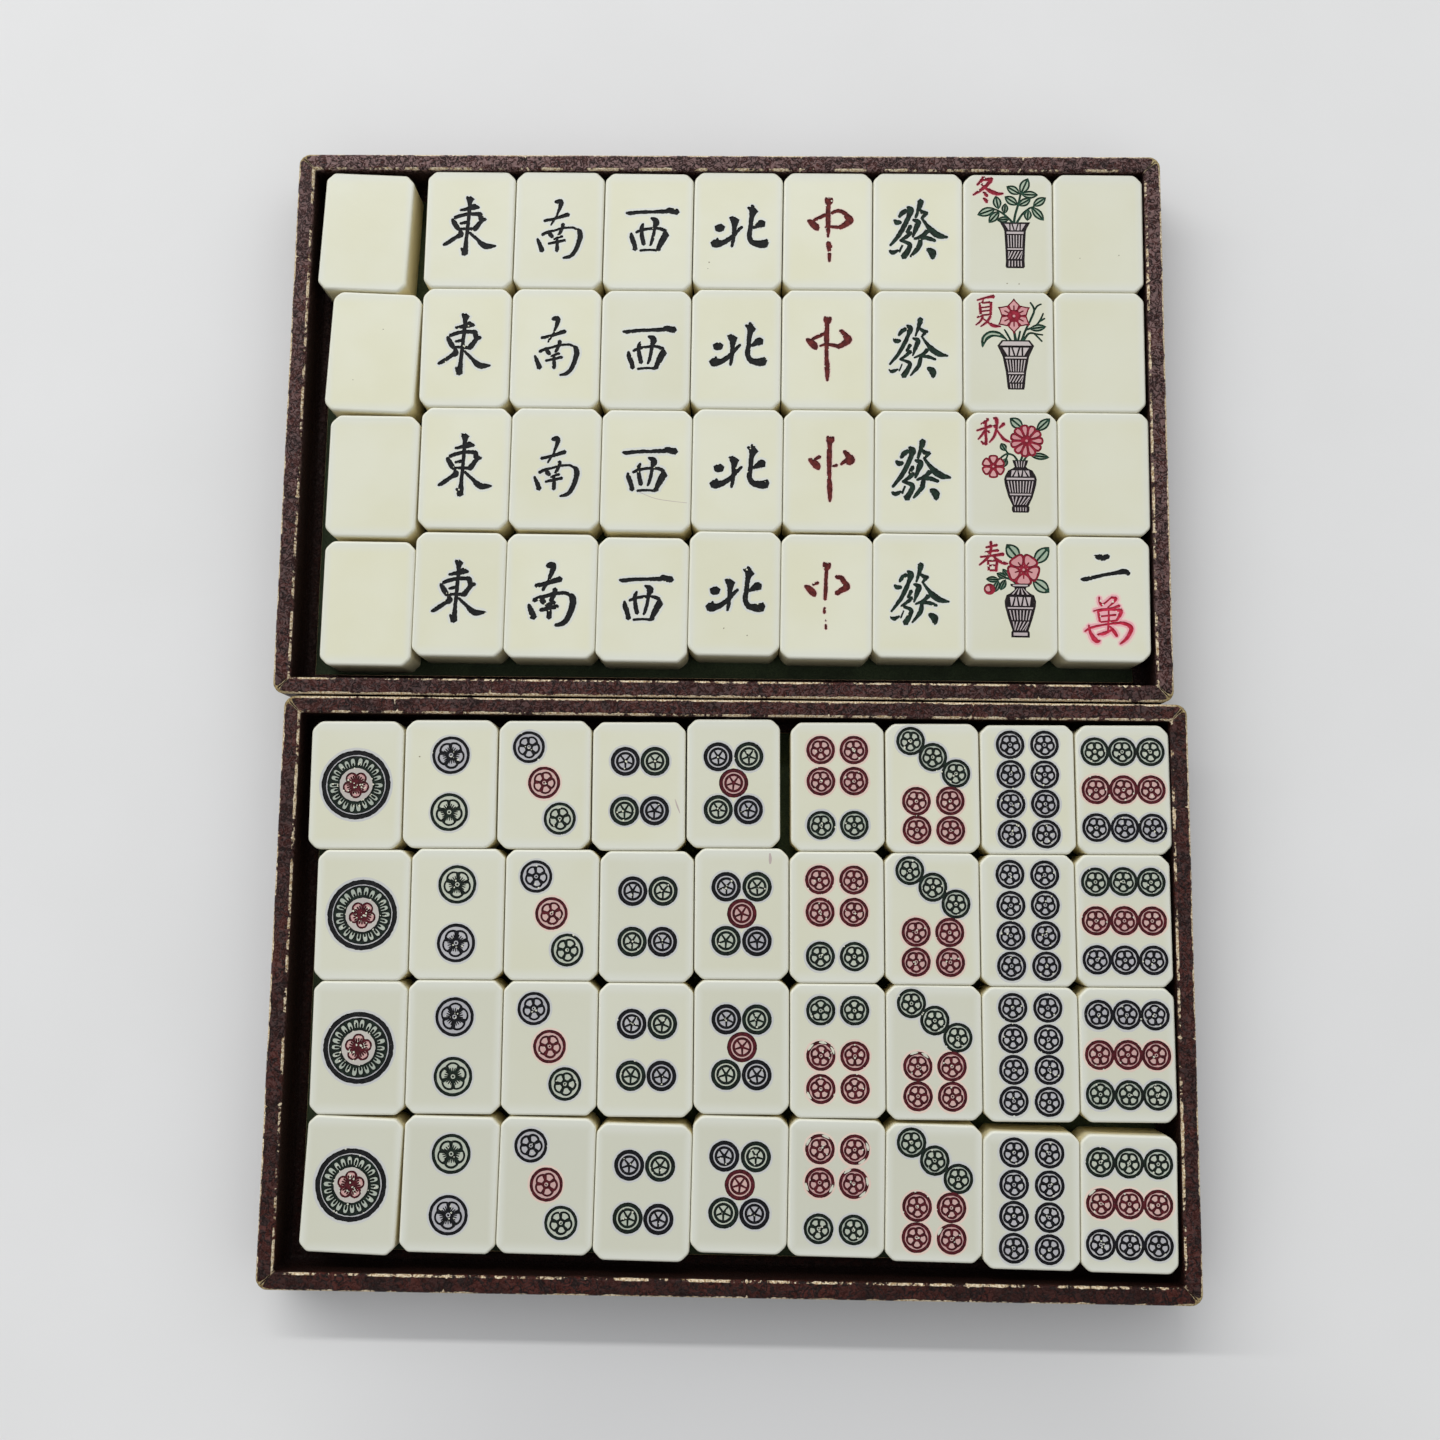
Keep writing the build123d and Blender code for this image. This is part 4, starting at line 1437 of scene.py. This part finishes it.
def place_tile(name, shapes, place, tone, half_turn=False):
    """A tile piece with these shapes cut into its face, lying at this place on the tray's lining."""
    points, faces, paints, rounded, aged = make_tile_shape(shapes + MARKS.get(name, []))
    x, y, turn = place
    turn += math.pi if half_turn else 0.0
    c, s = math.cos(turn), math.sin(turn)
    moved = np.empty_like(points)
    moved[:, 0] = points[:, 0] * c - points[:, 1] * s + x
    moved[:, 1] = points[:, 0] * s + points[:, 1] * c + y
    moved[:, 2] = points[:, 2] + LINING_TOP
    mesh = bpy.data.meshes.new(name)
    mesh.from_pydata((moved * MM).tolist(), [], faces)
    used = sorted(set(paints))
    for number in used:
        mesh.materials.append(INK[INK_NAMES[number]])
    mesh.polygons.foreach_set("material_index", [used.index(number) for number in paints])
    mesh.polygons.foreach_set("use_smooth", rounded)
    mesh.attributes.new("aged", "FLOAT", "POINT").data.foreach_set("value", aged)
    mesh.attributes.new("tone", "FLOAT", "POINT").data.foreach_set("value", [tone] * len(aged))
    return add_object(f"{name}_tile", mesh)


print("Tiles lie", LINING_TOP, "mm above the table")

# %% Place the tiles of the far tray
# How far each tile's colour goes towards the cool tone; the others' share is small and random. For the spare
# blanks the cool tone is painted shade, as the light falls off towards them
COOL_TILES = {
    "west_wind_2": 0.25, "south_wind_1": 0.2, "season_winter": 0.4, "season_summer": 0.42,
    "season_autumn": 0.42, "season_spring": 0.35, "two_of_characters": 0.2,
    "spare_blank_1": 0.25, "spare_blank_2": 0.22, "spare_blank_3": 0.2,
}
tile_count = 0
for node in sorted(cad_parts):
    kind = node.rstrip("1234").rstrip("_")
    if kind not in FAR_KINDS:
        continue
    tone = COOL_TILES.get(node, dice.uniform(0.0, 0.15))
    tile = place_tile(node, sign_face(node, kind), tiles_in(node)[0], tone)
    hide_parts(node)
    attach(tile, node)
    tile_count += 1
print(tile_count, "tiles placed in the far tray")

# %% [markdown]
# ## The tiles of the near tray
# The near tray holds the nine ranks of dots, four tiles of each. A tile has no right way up, so a
# few lie the other way round, such as the six and the nine of dots in the third row.

# %% Place the dots
HALF_TURNED = {("one", 3), ("one", 4), ("two", 3), ("six", 3), ("nine", 3)}
dot_count = 0
for rank in ("one", "two", "three", "four", "five", "six", "seven", "eight", "nine"):
    node = f"{rank}_of_dots"
    for row, place in enumerate(tiles_in(node), start=1):
        face = "two_other_way" if (rank, row) == ("two", 1) else rank
        half_turn = (rank, row) in HALF_TURNED
        # The tone grows row by row: the near rows are painted greyer and darker, as shade over the near side
        tone = dice.uniform(0.1, 0.3) + 0.14 * row
        tile = place_tile(f"{node}_{row}", DOT_FACES[face](), place, tone, half_turn)
        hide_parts(node)
        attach(tile, node)
        dot_count += 1
print(dot_count, "tiles placed in the near tray")

# %% [markdown]
# ## Covering material: embossed leatherette
# The trays are covered with leatherette: a paper-backed cloth with a dark maroon coating, embossed
# like leather. The high points of its grain are painted grey, as the sheen of the window on them, and
# it is worn through along the edges, where the pale paper shows, and at the corners, where the golden
# weave does. Its creases, the valleys of its wrinkles, the flanks of its folds and the walls inside the
# tray are painted darker, as shade. The mesh carries how exposed each place is (edge, corner, fold),
# how much painted shade it takes and how much painted sheen that side of the tray takes, and noise
# decides where the coating has really gone.

# %% The coating and its creases
def creased_coating(tree, in_mm):
    """Brown and maroon in soft patches, with creases painted dark, as the shade in them, where the paper has
    buckled.
    """
    patch = add_node(tree, "ShaderNodeTexNoise", {"Vector": in_mm, "Scale": 1 / 7, "Detail": 3.0})
    spread = add_node(tree, "ShaderNodeMapRange", {0: patch.outputs[0], 1: 0.38, 2: 0.62})
    coat = add_node(
        tree, "ShaderNodeMix", {0: spread.outputs[0], 6: "#2A0E08", 7: "#441B13"}, data_type="RGBA"
    )
    buckle = add_node(
        tree, "ShaderNodeTexNoise", {"Vector": in_mm, "Scale": 1 / 2.4, "Detail": 4.0, "Distortion": 0.8}
    )
    crease = add_node(tree, "ShaderNodeMath", {0: buckle.outputs[0], 1: 0.5, 2: 0.045}, operation="COMPARE")
    creased = add_node(
        tree, "ShaderNodeMix", {0: crease.outputs[0], 6: coat.outputs[2], 7: "#180906"}, data_type="RGBA"
    )
    return creased.outputs[2]


print("Patches 7 mm wide, and creases 2.4 mm apart")

# %% The embossed grain
def embossed_grain(tree, in_mm, coating, fold, inside, rubbed_and_sheen):
    """The coating's colour with painted shade in its wrinkles and painted sheen on its crests, and how high
    the crests stand.
    """
    # Wrinkles: a noise folded at its middle value gives long narrow valleys between broad crests, and the
    # valleys are painted dark, as shade
    wrinkle = add_node(
        tree, "ShaderNodeTexNoise", {"Vector": in_mm, "Scale": 1 / 1.5, "Detail": 3.0, "Distortion": 1.2}
    )
    lifted = add_node(tree, "ShaderNodeMath", {0: wrinkle.outputs[0], 1: 0.5}, operation="SUBTRACT")
    slope = add_node(tree, "ShaderNodeMath", {0: lifted.outputs[0]}, operation="ABSOLUTE")
    crest = add_node(
        tree, "ShaderNodeMapRange", {0: slope.outputs[0], 1: 0.015, 2: 0.11}, interpolation_type="SMOOTHSTEP"
    )
    valley = add_node(tree, "ShaderNodeMapRange", {0: slope.outputs[0], 1: 0.0, 2: 0.03, 3: 0.75, 4: 0.0})
    wrinkled = add_node(
        tree, "ShaderNodeMix", {0: valley.outputs[0], 6: coating, 7: "#140706"}, data_type="RGBA"
    )

    # Grain: the crests of the embossing are painted grey, as the sheen of the window on them, more on some
    # sides of the trays than on others
    grain = add_node(
        tree, "ShaderNodeTexNoise", {"Vector": in_mm, "Scale": 1 / 0.6, "Detail": 3.0, "Distortion": 0.6}
    )
    fine = add_node(tree, "ShaderNodeMapRange", {0: grain.outputs[0], 1: 0.38, 2: 0.66, 3: 0.6, 4: 1.0})
    high = add_node(tree, "ShaderNodeMath", {0: crest.outputs[0], 1: fine.outputs[0]}, operation="MULTIPLY")
    painted_sheen = add_node(tree, "ShaderNodeMath", {0: high.outputs[0], 1: rubbed_and_sheen}, operation="MULTIPLY")
    grained = add_node(
        tree, "ShaderNodeMix", {0: painted_sheen.outputs[0], 6: wrinkled.outputs[2], 7: "#876D6A"},
        data_type="RGBA",
    )
    # Painted shade: the flanks of folds and the walls inside the tray are darker, as the shade that falls
    # there
    hollow = add_node(tree, "ShaderNodeMath", {0: fold, 1: 0.8}, operation="MULTIPLY")
    dark = add_node(tree, "ShaderNodeMath", {0: hollow.outputs[0], 1: inside}, operation="MAXIMUM")
    shaded = add_node(
        tree, "ShaderNodeMix", {0: dark.outputs[0], 6: grained.outputs[2], 7: "#1A0B08"}, data_type="RGBA"
    )
    return shaded.outputs[2], high.outputs[0]


print("Wrinkles 1.5 mm apart, and a grain of 0.6 mm")

# %% Where the coating is worn through
WEAR_BEGINS, WEAR_ENDS = 2.0, 2.1


def worn_through(tree, in_mm, edge, corner, fold):
    """How far the coating is gone, and the colour of the paper or cloth that shows there.

    Exposure and two noises are added up, and where the sum is high the coating is gone.
    """
    long_noise = add_node(tree, "ShaderNodeTexNoise", {"Vector": in_mm, "Scale": 1 / 5, "Detail": 2.0})
    short_noise = add_node(tree, "ShaderNodeTexNoise", {"Vector": in_mm, "Scale": 1 / 0.8, "Detail": 4.0})
    weights = (
        (corner, 0.52), (fold, 0.75), (long_noise.outputs[0], 1.3), (short_noise.outputs[0], 0.8),
    )
    total = edge
    for value, weight in weights:
        step = add_node(tree, "ShaderNodeMath", {0: value, 1: weight, 2: total}, operation="MULTIPLY_ADD")
        total = step.outputs[0]
    worn = add_node(
        tree, "ShaderNodeMapRange", {0: total, 1: WEAR_BEGINS, 2: WEAR_ENDS},
        interpolation_type="SMOOTHSTEP",
    )
    fibre = add_node(tree, "ShaderNodeTexNoise", {"Vector": in_mm, "Scale": 1 / 0.5, "Detail": 3.0})
    fibres = add_node(tree, "ShaderNodeMapRange", {0: fibre.outputs[0], 1: 0.35, 2: 0.6})
    paper = add_node(
        tree, "ShaderNodeMix", {0: fibres.outputs[0], 6: "#9C7F58", 7: "#E2D3B6"}, data_type="RGBA"
    )
    cloth = add_node(
        tree, "ShaderNodeMix", {0: fibres.outputs[0], 6: "#4A3A1E", 7: "#94803E"}, data_type="RGBA"
    )
    backing = add_node(
        tree, "ShaderNodeMix", {0: corner, 6: paper.outputs[2], 7: cloth.outputs[2]}, data_type="RGBA"
    )
    return worn.outputs[0], backing.outputs[2]


print("The coating goes where exposure and noise add up to", WEAR_BEGINS)

# %% Make the leatherette
def make_leatherette():
    """Maroon coating, embossed grain with painted shade in its hollows and painted sheen on its crests, and
    paper or cloth where it has worn off.
    """
    material, tree, in_mm = new_material("embossed_leatherette")
    # The attributes: how exposed a place is at edges, corners and folds, its painted shade, and its side's
    # painted sheen
    edge, corner, fold, inside, rubbed_and_sheen = (
        add_node(tree, "ShaderNodeAttribute", {}, attribute_name=name).outputs["Fac"]
        for name in ("edge", "corner", "fold", "inside", "rubbed_and_sheen")
    )
    coating, high = embossed_grain(tree, in_mm, creased_coating(tree, in_mm), fold, inside, rubbed_and_sheen)
    worn, backing = worn_through(tree, in_mm, edge, corner, fold)
    colour = add_node(tree, "ShaderNodeMix", {0: worn, 6: coating, 7: backing}, data_type="RGBA")
    rough = add_node(tree, "ShaderNodeMapRange", {0: worn, 3: 0.46, 4: 0.9})
    relief = add_node(tree, "ShaderNodeMath", {0: worn, 1: -0.6, 2: high}, operation="MULTIPLY_ADD")
    bump = add_node(
        tree, "ShaderNodeBump", {"Height": relief.outputs[0], "Strength": 0.75, "Distance": 0.0003}
    )
    set_surface(tree, {
        "Base Color": colour.outputs[2], "Roughness": rough.outputs[0], "Specular IOR Level": 0.15,
        "Normal": bump.outputs[0],
    })
    return material


leatherette = make_leatherette()
print("Leatherette made")

# %% [markdown]
# ## The tray covering
# One skin runs from the foot of the outside, over the rim, down the inside and in onto the floor.
# It is swept round the tray as loops, like the tile body. The sweep has extra points at folds, where
# the covering is creased over the rim, and at the mitred corners, where it was tucked and has
# frayed. The rim sinks and swells by a tenth of a millimetre, as glued cloth does.

# %% The section of the covering
RIM_TOP = 17.3
RIM_ROUNDING = 0.7
WALL = 4.4
OUTER_RADIUS = 3.0
CORNER_STEPS = 8
# Steps of a corner at which the covering is frayed, and how much
FRAYS = {3: 1.5, 5: 1.3}


def skin_profile():
    """(inset, height, edge, inside) round the section of the skin, from the foot of the outside."""
    rows = [(0.0, 0.0, 0.75, 0.0)] + [(0.0, z, 0.0, 0.0) for z in (4.0, 8.0, 12.0, 14.8)]
    rows += [(0.0, 15.8, 0.3, 0.0), (0.0, 16.5, 0.75, 0.0)]
    inner_edge = []
    for degrees in (25, 50, 75):
        a = math.radians(degrees)
        across = RIM_ROUNDING * (1 - math.cos(a))
        height = RIM_TOP - RIM_ROUNDING * (1 - math.sin(a))
        rows.append((across, height, 0.85 if degrees < 60 else 0.65, 0.0))
        inner_edge.append((WALL - across, height, 1.0, 0.0))
    rows += [(0.85, RIM_TOP, 0.35, 0.0), (1.3, RIM_TOP, 0.1, 0.0), (2.2, RIM_TOP, 0.0, 0.0)]
    rows += [(3.1, RIM_TOP, 0.05, 0.0), (3.45, RIM_TOP, 0.2, 0.0), (3.65, RIM_TOP, 0.6, 0.0)]
    rows += reversed(inner_edge)
    # Inside the tray the covering is painted darker down the wall and on the turn-in, as shade; the hidden
    # rows take it fully
    rows += [(WALL, 16.35, 0.4, 0.3), (WALL, 15.9, 0.0, 0.7), (WALL, 14.5, 0.0, 0.9)]
    rows += [(WALL, 10.0, 0.0, 1.0), (WALL, 4.0, 0.0, 1.0), (5.6, 4.0, 0.0, 0.7), (6.9, 4.0, 0.2, 0.6)]
    hidden = [(6.9, 3.5), (3.9, 3.5), (3.9, 16.8), (0.5, 16.8), (0.5, 0.0)]
    return rows + [(*place, 0.0, 1.0) for place in hidden], len(rows)


print("The section has", len(skin_profile()[0]), "points")

# %% One loop of the sweep
def side_stops(length, creases):
    """Places along a side in millimetres from its middle, with extra ones round each crease."""
    stops = set(np.round(np.linspace(-length / 2, length / 2, int(length / 2.2) + 1), 3))
    for crease in creases:
        stops -= {s for s in stops if abs(s - crease) < 1.2 and abs(s) < length / 2 - 0.01}
        stops |= {crease - 1.2, crease - 0.4, crease, crease + 0.4, crease + 1.2}
    return sorted(stops)


def plan_loop(size, inset, stops, creases, sheen_and_wear):
    """One loop of the sweep in plan: (x, y, crease, mitre, painted sheen, wear) about the tray's middle."""
    radius = max(OUTER_RADIUS - inset, np.interp(inset, (3.1, 3.65, 3.88), (1.0, 0.45, 0.3)))
    loop = []
    for side in range(4):
        along, across = (size[0], size[1]) if side % 2 == 0 else (size[1], size[0])
        straight = along / 2 - inset - radius
        rise = across / 2 - inset
        rows = []
        start, end, wear = sheen_and_wear[side]
        next_start, _, next_wear = sheen_and_wear[(side + 1) % 4]
        for stop in stops[side]:
            crease = max([0.0] + [1.0 - abs(stop - mark) / 0.4 for mark in creases[side]])
            share = stop / (along / 2 - OUTER_RADIUS)
            # How much grey sheen is painted on the crests here, between the side's start and end
            rubbed_and_sheen = start + (end - start) * (1 + share) / 2
            rows.append((share * straight, -rise, crease, 0.0, rubbed_and_sheen, wear))
        for k in range(1, CORNER_STEPS):
            angle = math.radians(-90 + 90 * k / CORNER_STEPS)
            run = straight + radius * math.cos(angle)
            depth = -(rise - radius) + radius * math.sin(angle)
            share = k / CORNER_STEPS
            rubbed_and_sheen = end + (next_start - end) * share
            mitre = 0.8 if k == CORNER_STEPS // 2 else 0.0
            rows.append((run, depth, FRAYS.get(k, 0.0), mitre, rubbed_and_sheen, wear + (next_wear - wear) * share))
        c, s = ((1, 0), (0, 1), (-1, 0), (0, -1))[side]
        for run, depth, *rest in rows:
            loop.append((run * c - depth * s, run * s + depth * c, *rest))
    return loop


print("A side of 100 mm with one crease has", len(side_stops(100.0, (10.0,))), "stops")

# %% Sweep the covering
def sweep_cover(name, low, high, creases, sheen_and_wear):
    """The covering of one tray between two plan corners, with creases, painted sheen and edge wear for each
    side.
    """
    middle = ((low[0] + high[0]) / 2, (low[1] + high[1]) / 2)
    size = (high[0] - low[0], high[1] - low[1])
    stops = [side_stops(size[side % 2] - 2 * OUTER_RADIUS, creases[side]) for side in range(4)]
    rows, seen_rows = skin_profile()
    points, values = [], []
    for inset, height, row_edge, row_inside in rows:
        loop = plan_loop(size, inset, stops, creases, sheen_and_wear)
        for x, y, crease, mitre, rubbed_and_sheen, wear in loop:
            gap_x, gap_y = size[0] / 2 - abs(x), size[1] / 2 - abs(y)
            to_corner = math.hypot(max(gap_x, 0), max(gap_y, 0))
            x, y, z = x + middle[0], y + middle[1], height
            # The rim sinks and swells, and dips at the creases
            if row_inside < 0.5 and height > 16.0:
                z -= 0.09 + 0.05 * noise.noise((x / 14, y / 14, 0.0))
                z -= 0.03 * noise.noise((x / 4, y / 4, 3.0))
                z -= 0.1 * crease
            # The outside lies a few hundredths of a millimetre within the CAD's, unevenly
            if inset == 0.0:
                push = 0.04 + 0.03 * noise.noise((x / 20, y / 20, height / 6)) + 0.05 * crease
                if gap_x < 0.5:
                    x -= math.copysign(push, x - middle[0])
                if gap_y < 0.5:
                    y -= math.copysign(push, y - middle[1])
            points.append((x * MM, y * MM, z * MM))
            exposed = row_edge + (wear if row_edge > 0.6 and inset < 2 else 0.0)
            folded = crease if row_inside < 0.35 else 0.0
            # The inside of the tray takes painted shade, and each corner's mitre on the rim a dark seam
            shaded = max(row_inside, mitre if height > 16.0 else 0.0)
            values.append((exposed, max(0.0, 1.0 - to_corner / 7.0), folded, shaded, rubbed_and_sheen))
    # Faces between each row and the next, and between the last row and the first
    count = len(loop)
    faces = []
    for row in range(len(rows)):
        below, above = row * count, (row + 1) % len(rows) * count
        for i in range(count):
            j = (i + 1) % count
            faces.append((below + i, below + j, above + j, above + i))
    mesh = bpy.data.meshes.new(name)
    mesh.from_pydata(points, [], faces)
    for k, label in enumerate(("edge", "corner", "fold", "inside", "rubbed_and_sheen")):
        column = [row[k] for row in values]
        mesh.attributes.new(label, "FLOAT", "POINT").data.foreach_set("value", column)
    mesh.materials.append(leatherette)
    mesh.polygons.foreach_set("use_smooth", [i // count < seen_rows - 1 for i in range(len(faces))])
    return add_object(name, mesh)


print("The sweep is ready")

# %% Cover both trays
# Creases in millimetres from each side's middle, in the order near, right, far and left
CREASES = {
    "upper_tray": ((-60.0, 10.0, 82.0, 105.5), (-30.0, 40.0), (-80.0, -20.0, 55.0), (-45.0, 22.0)),
    "lower_tray": ((-70.0, 5.0, 60.0), (-10.0, 48.0), (-95.0, -62.0, -25.0, 30.0, 88.0), (-38.0, 30.0)),
}
# How much grey sheen is painted on each side's crests at its start and end, going round anticlockwise from
# the near left corner, and how much more its outer edge is worn, in the same order
SHEEN_AND_EDGE_WEAR = {
    "upper_tray": ((0.32, 0.3, 0.35), (0.55, 0.85, 0.35), (0.62, 1.15, 0.3), (0.7, 0.35, 0.25)),
    "lower_tray": ((0.08, 0.05, 0.2), (0.16, 0.18, 0.3), (0.26, 0.26, 0.35), (0.26, 0.14, 0.25)),
}
for tray, creases in CREASES.items():
    low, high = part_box(f"{tray}_cover")
    plan = [(corner.x / MM, corner.y / MM) for corner in (low, high)]
    cover = sweep_cover(f"{tray}_covering", *plan, creases, SHEEN_AND_EDGE_WEAR[tray])
    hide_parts(f"{tray}_cover")
    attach(cover, tray)
    print(cover.name, len(cover.data.polygons), "faces")

# %% [markdown]
# ## Lining and boards
# The floor sheet is dark green paper with a short flock, so it looks soft and scatters light a
# little at a grazing angle. Under the covering are planed softwood boards. Only the base boards
# show, from below. Both keep the CAD's shape and only get a finish.

# %% Finish the linings
def make_lining():
    """Flocked paper: a short dark nap, worn a little paler in places."""
    material, tree, in_mm = new_material("flocked_green_paper")
    nap = add_node(tree, "ShaderNodeTexNoise", {"Vector": in_mm, "Scale": 1 / 0.35, "Detail": 3.0})
    rubbed_and_sheen = add_node(tree, "ShaderNodeTexNoise", {"Vector": in_mm, "Scale": 1 / 12, "Detail": 2.0})
    mixed = add_node(tree, "ShaderNodeMath", {0: nap.outputs[0], 1: rubbed_and_sheen.outputs[0]}, operation="MULTIPLY")
    spread = add_node(tree, "ShaderNodeMapRange", {0: mixed.outputs[0], 1: 0.12, 2: 0.4})
    colour = add_node(
        tree, "ShaderNodeMix", {0: spread.outputs[0], 6: "#232E1A", 7: "#414F33"}, data_type="RGBA"
    )
    bump = add_node(tree, "ShaderNodeBump", {"Height": nap.outputs[0], "Strength": 0.6, "Distance": 0.0002})
    set_surface(tree, {
        "Base Color": colour.outputs[2], "Roughness": 0.95, "Sheen Weight": 0.2, "Sheen Roughness": 0.5,
        "Normal": bump.outputs[0],
    })
    return material


def give_material(node, material):
    """Puts one material on a CAD node that stays."""
    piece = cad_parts[node]
    piece.data.materials.clear()
    piece.data.materials.append(material)


lining = make_lining()
for tray in ("upper_tray", "lower_tray"):
    give_material(f"{tray}_lining", lining)
print("Linings finished")

# %% Finish the boards
def make_softwood():
    """Planed softwood: long pale and brown bands 3 mm apart, bent by a noise, along the tray."""
    material, tree, in_mm = new_material("planed_softwood")
    stretched = add_node(tree, "ShaderNodeMapping", {"Vector": in_mm, "Scale": (0.06, 1.0, 1.0)})
    rings = add_node(
        tree, "ShaderNodeTexWave",
        {"Vector": stretched.outputs[0], "Scale": 1 / 18, "Distortion": 5.0, "Detail": 3.0},
        bands_direction="Y",
    )
    pores = add_node(
        tree, "ShaderNodeTexNoise", {"Vector": stretched.outputs[0], "Scale": 1 / 0.6, "Detail": 4.0}
    )
    mixed = add_node(
        tree, "ShaderNodeMath", {0: pores.outputs[0], 1: 0.4, 2: rings.outputs[1]},
        operation="MULTIPLY_ADD",
    )
    spread = add_node(tree, "ShaderNodeMapRange", {0: mixed.outputs[0], 1: 0.1, 2: 1.2})
    colour = add_node(
        tree, "ShaderNodeMix", {0: spread.outputs[0], 6: "#B08A5C", 7: "#D8BE93"}, data_type="RGBA"
    )
    bump = add_node(
        tree, "ShaderNodeBump", {"Height": pores.outputs[0], "Strength": 0.3, "Distance": 0.0002}
    )
    set_surface(tree, {"Base Color": colour.outputs[2], "Roughness": 0.7, "Normal": bump.outputs[0]})
    return material


softwood = make_softwood()
for tray in ("upper_tray", "lower_tray"):
    for part in ("base_board", "near_wall", "right_wall", "far_wall", "left_wall"):
        give_material(f"{tray}_{part}", softwood)
print("Boards finished")
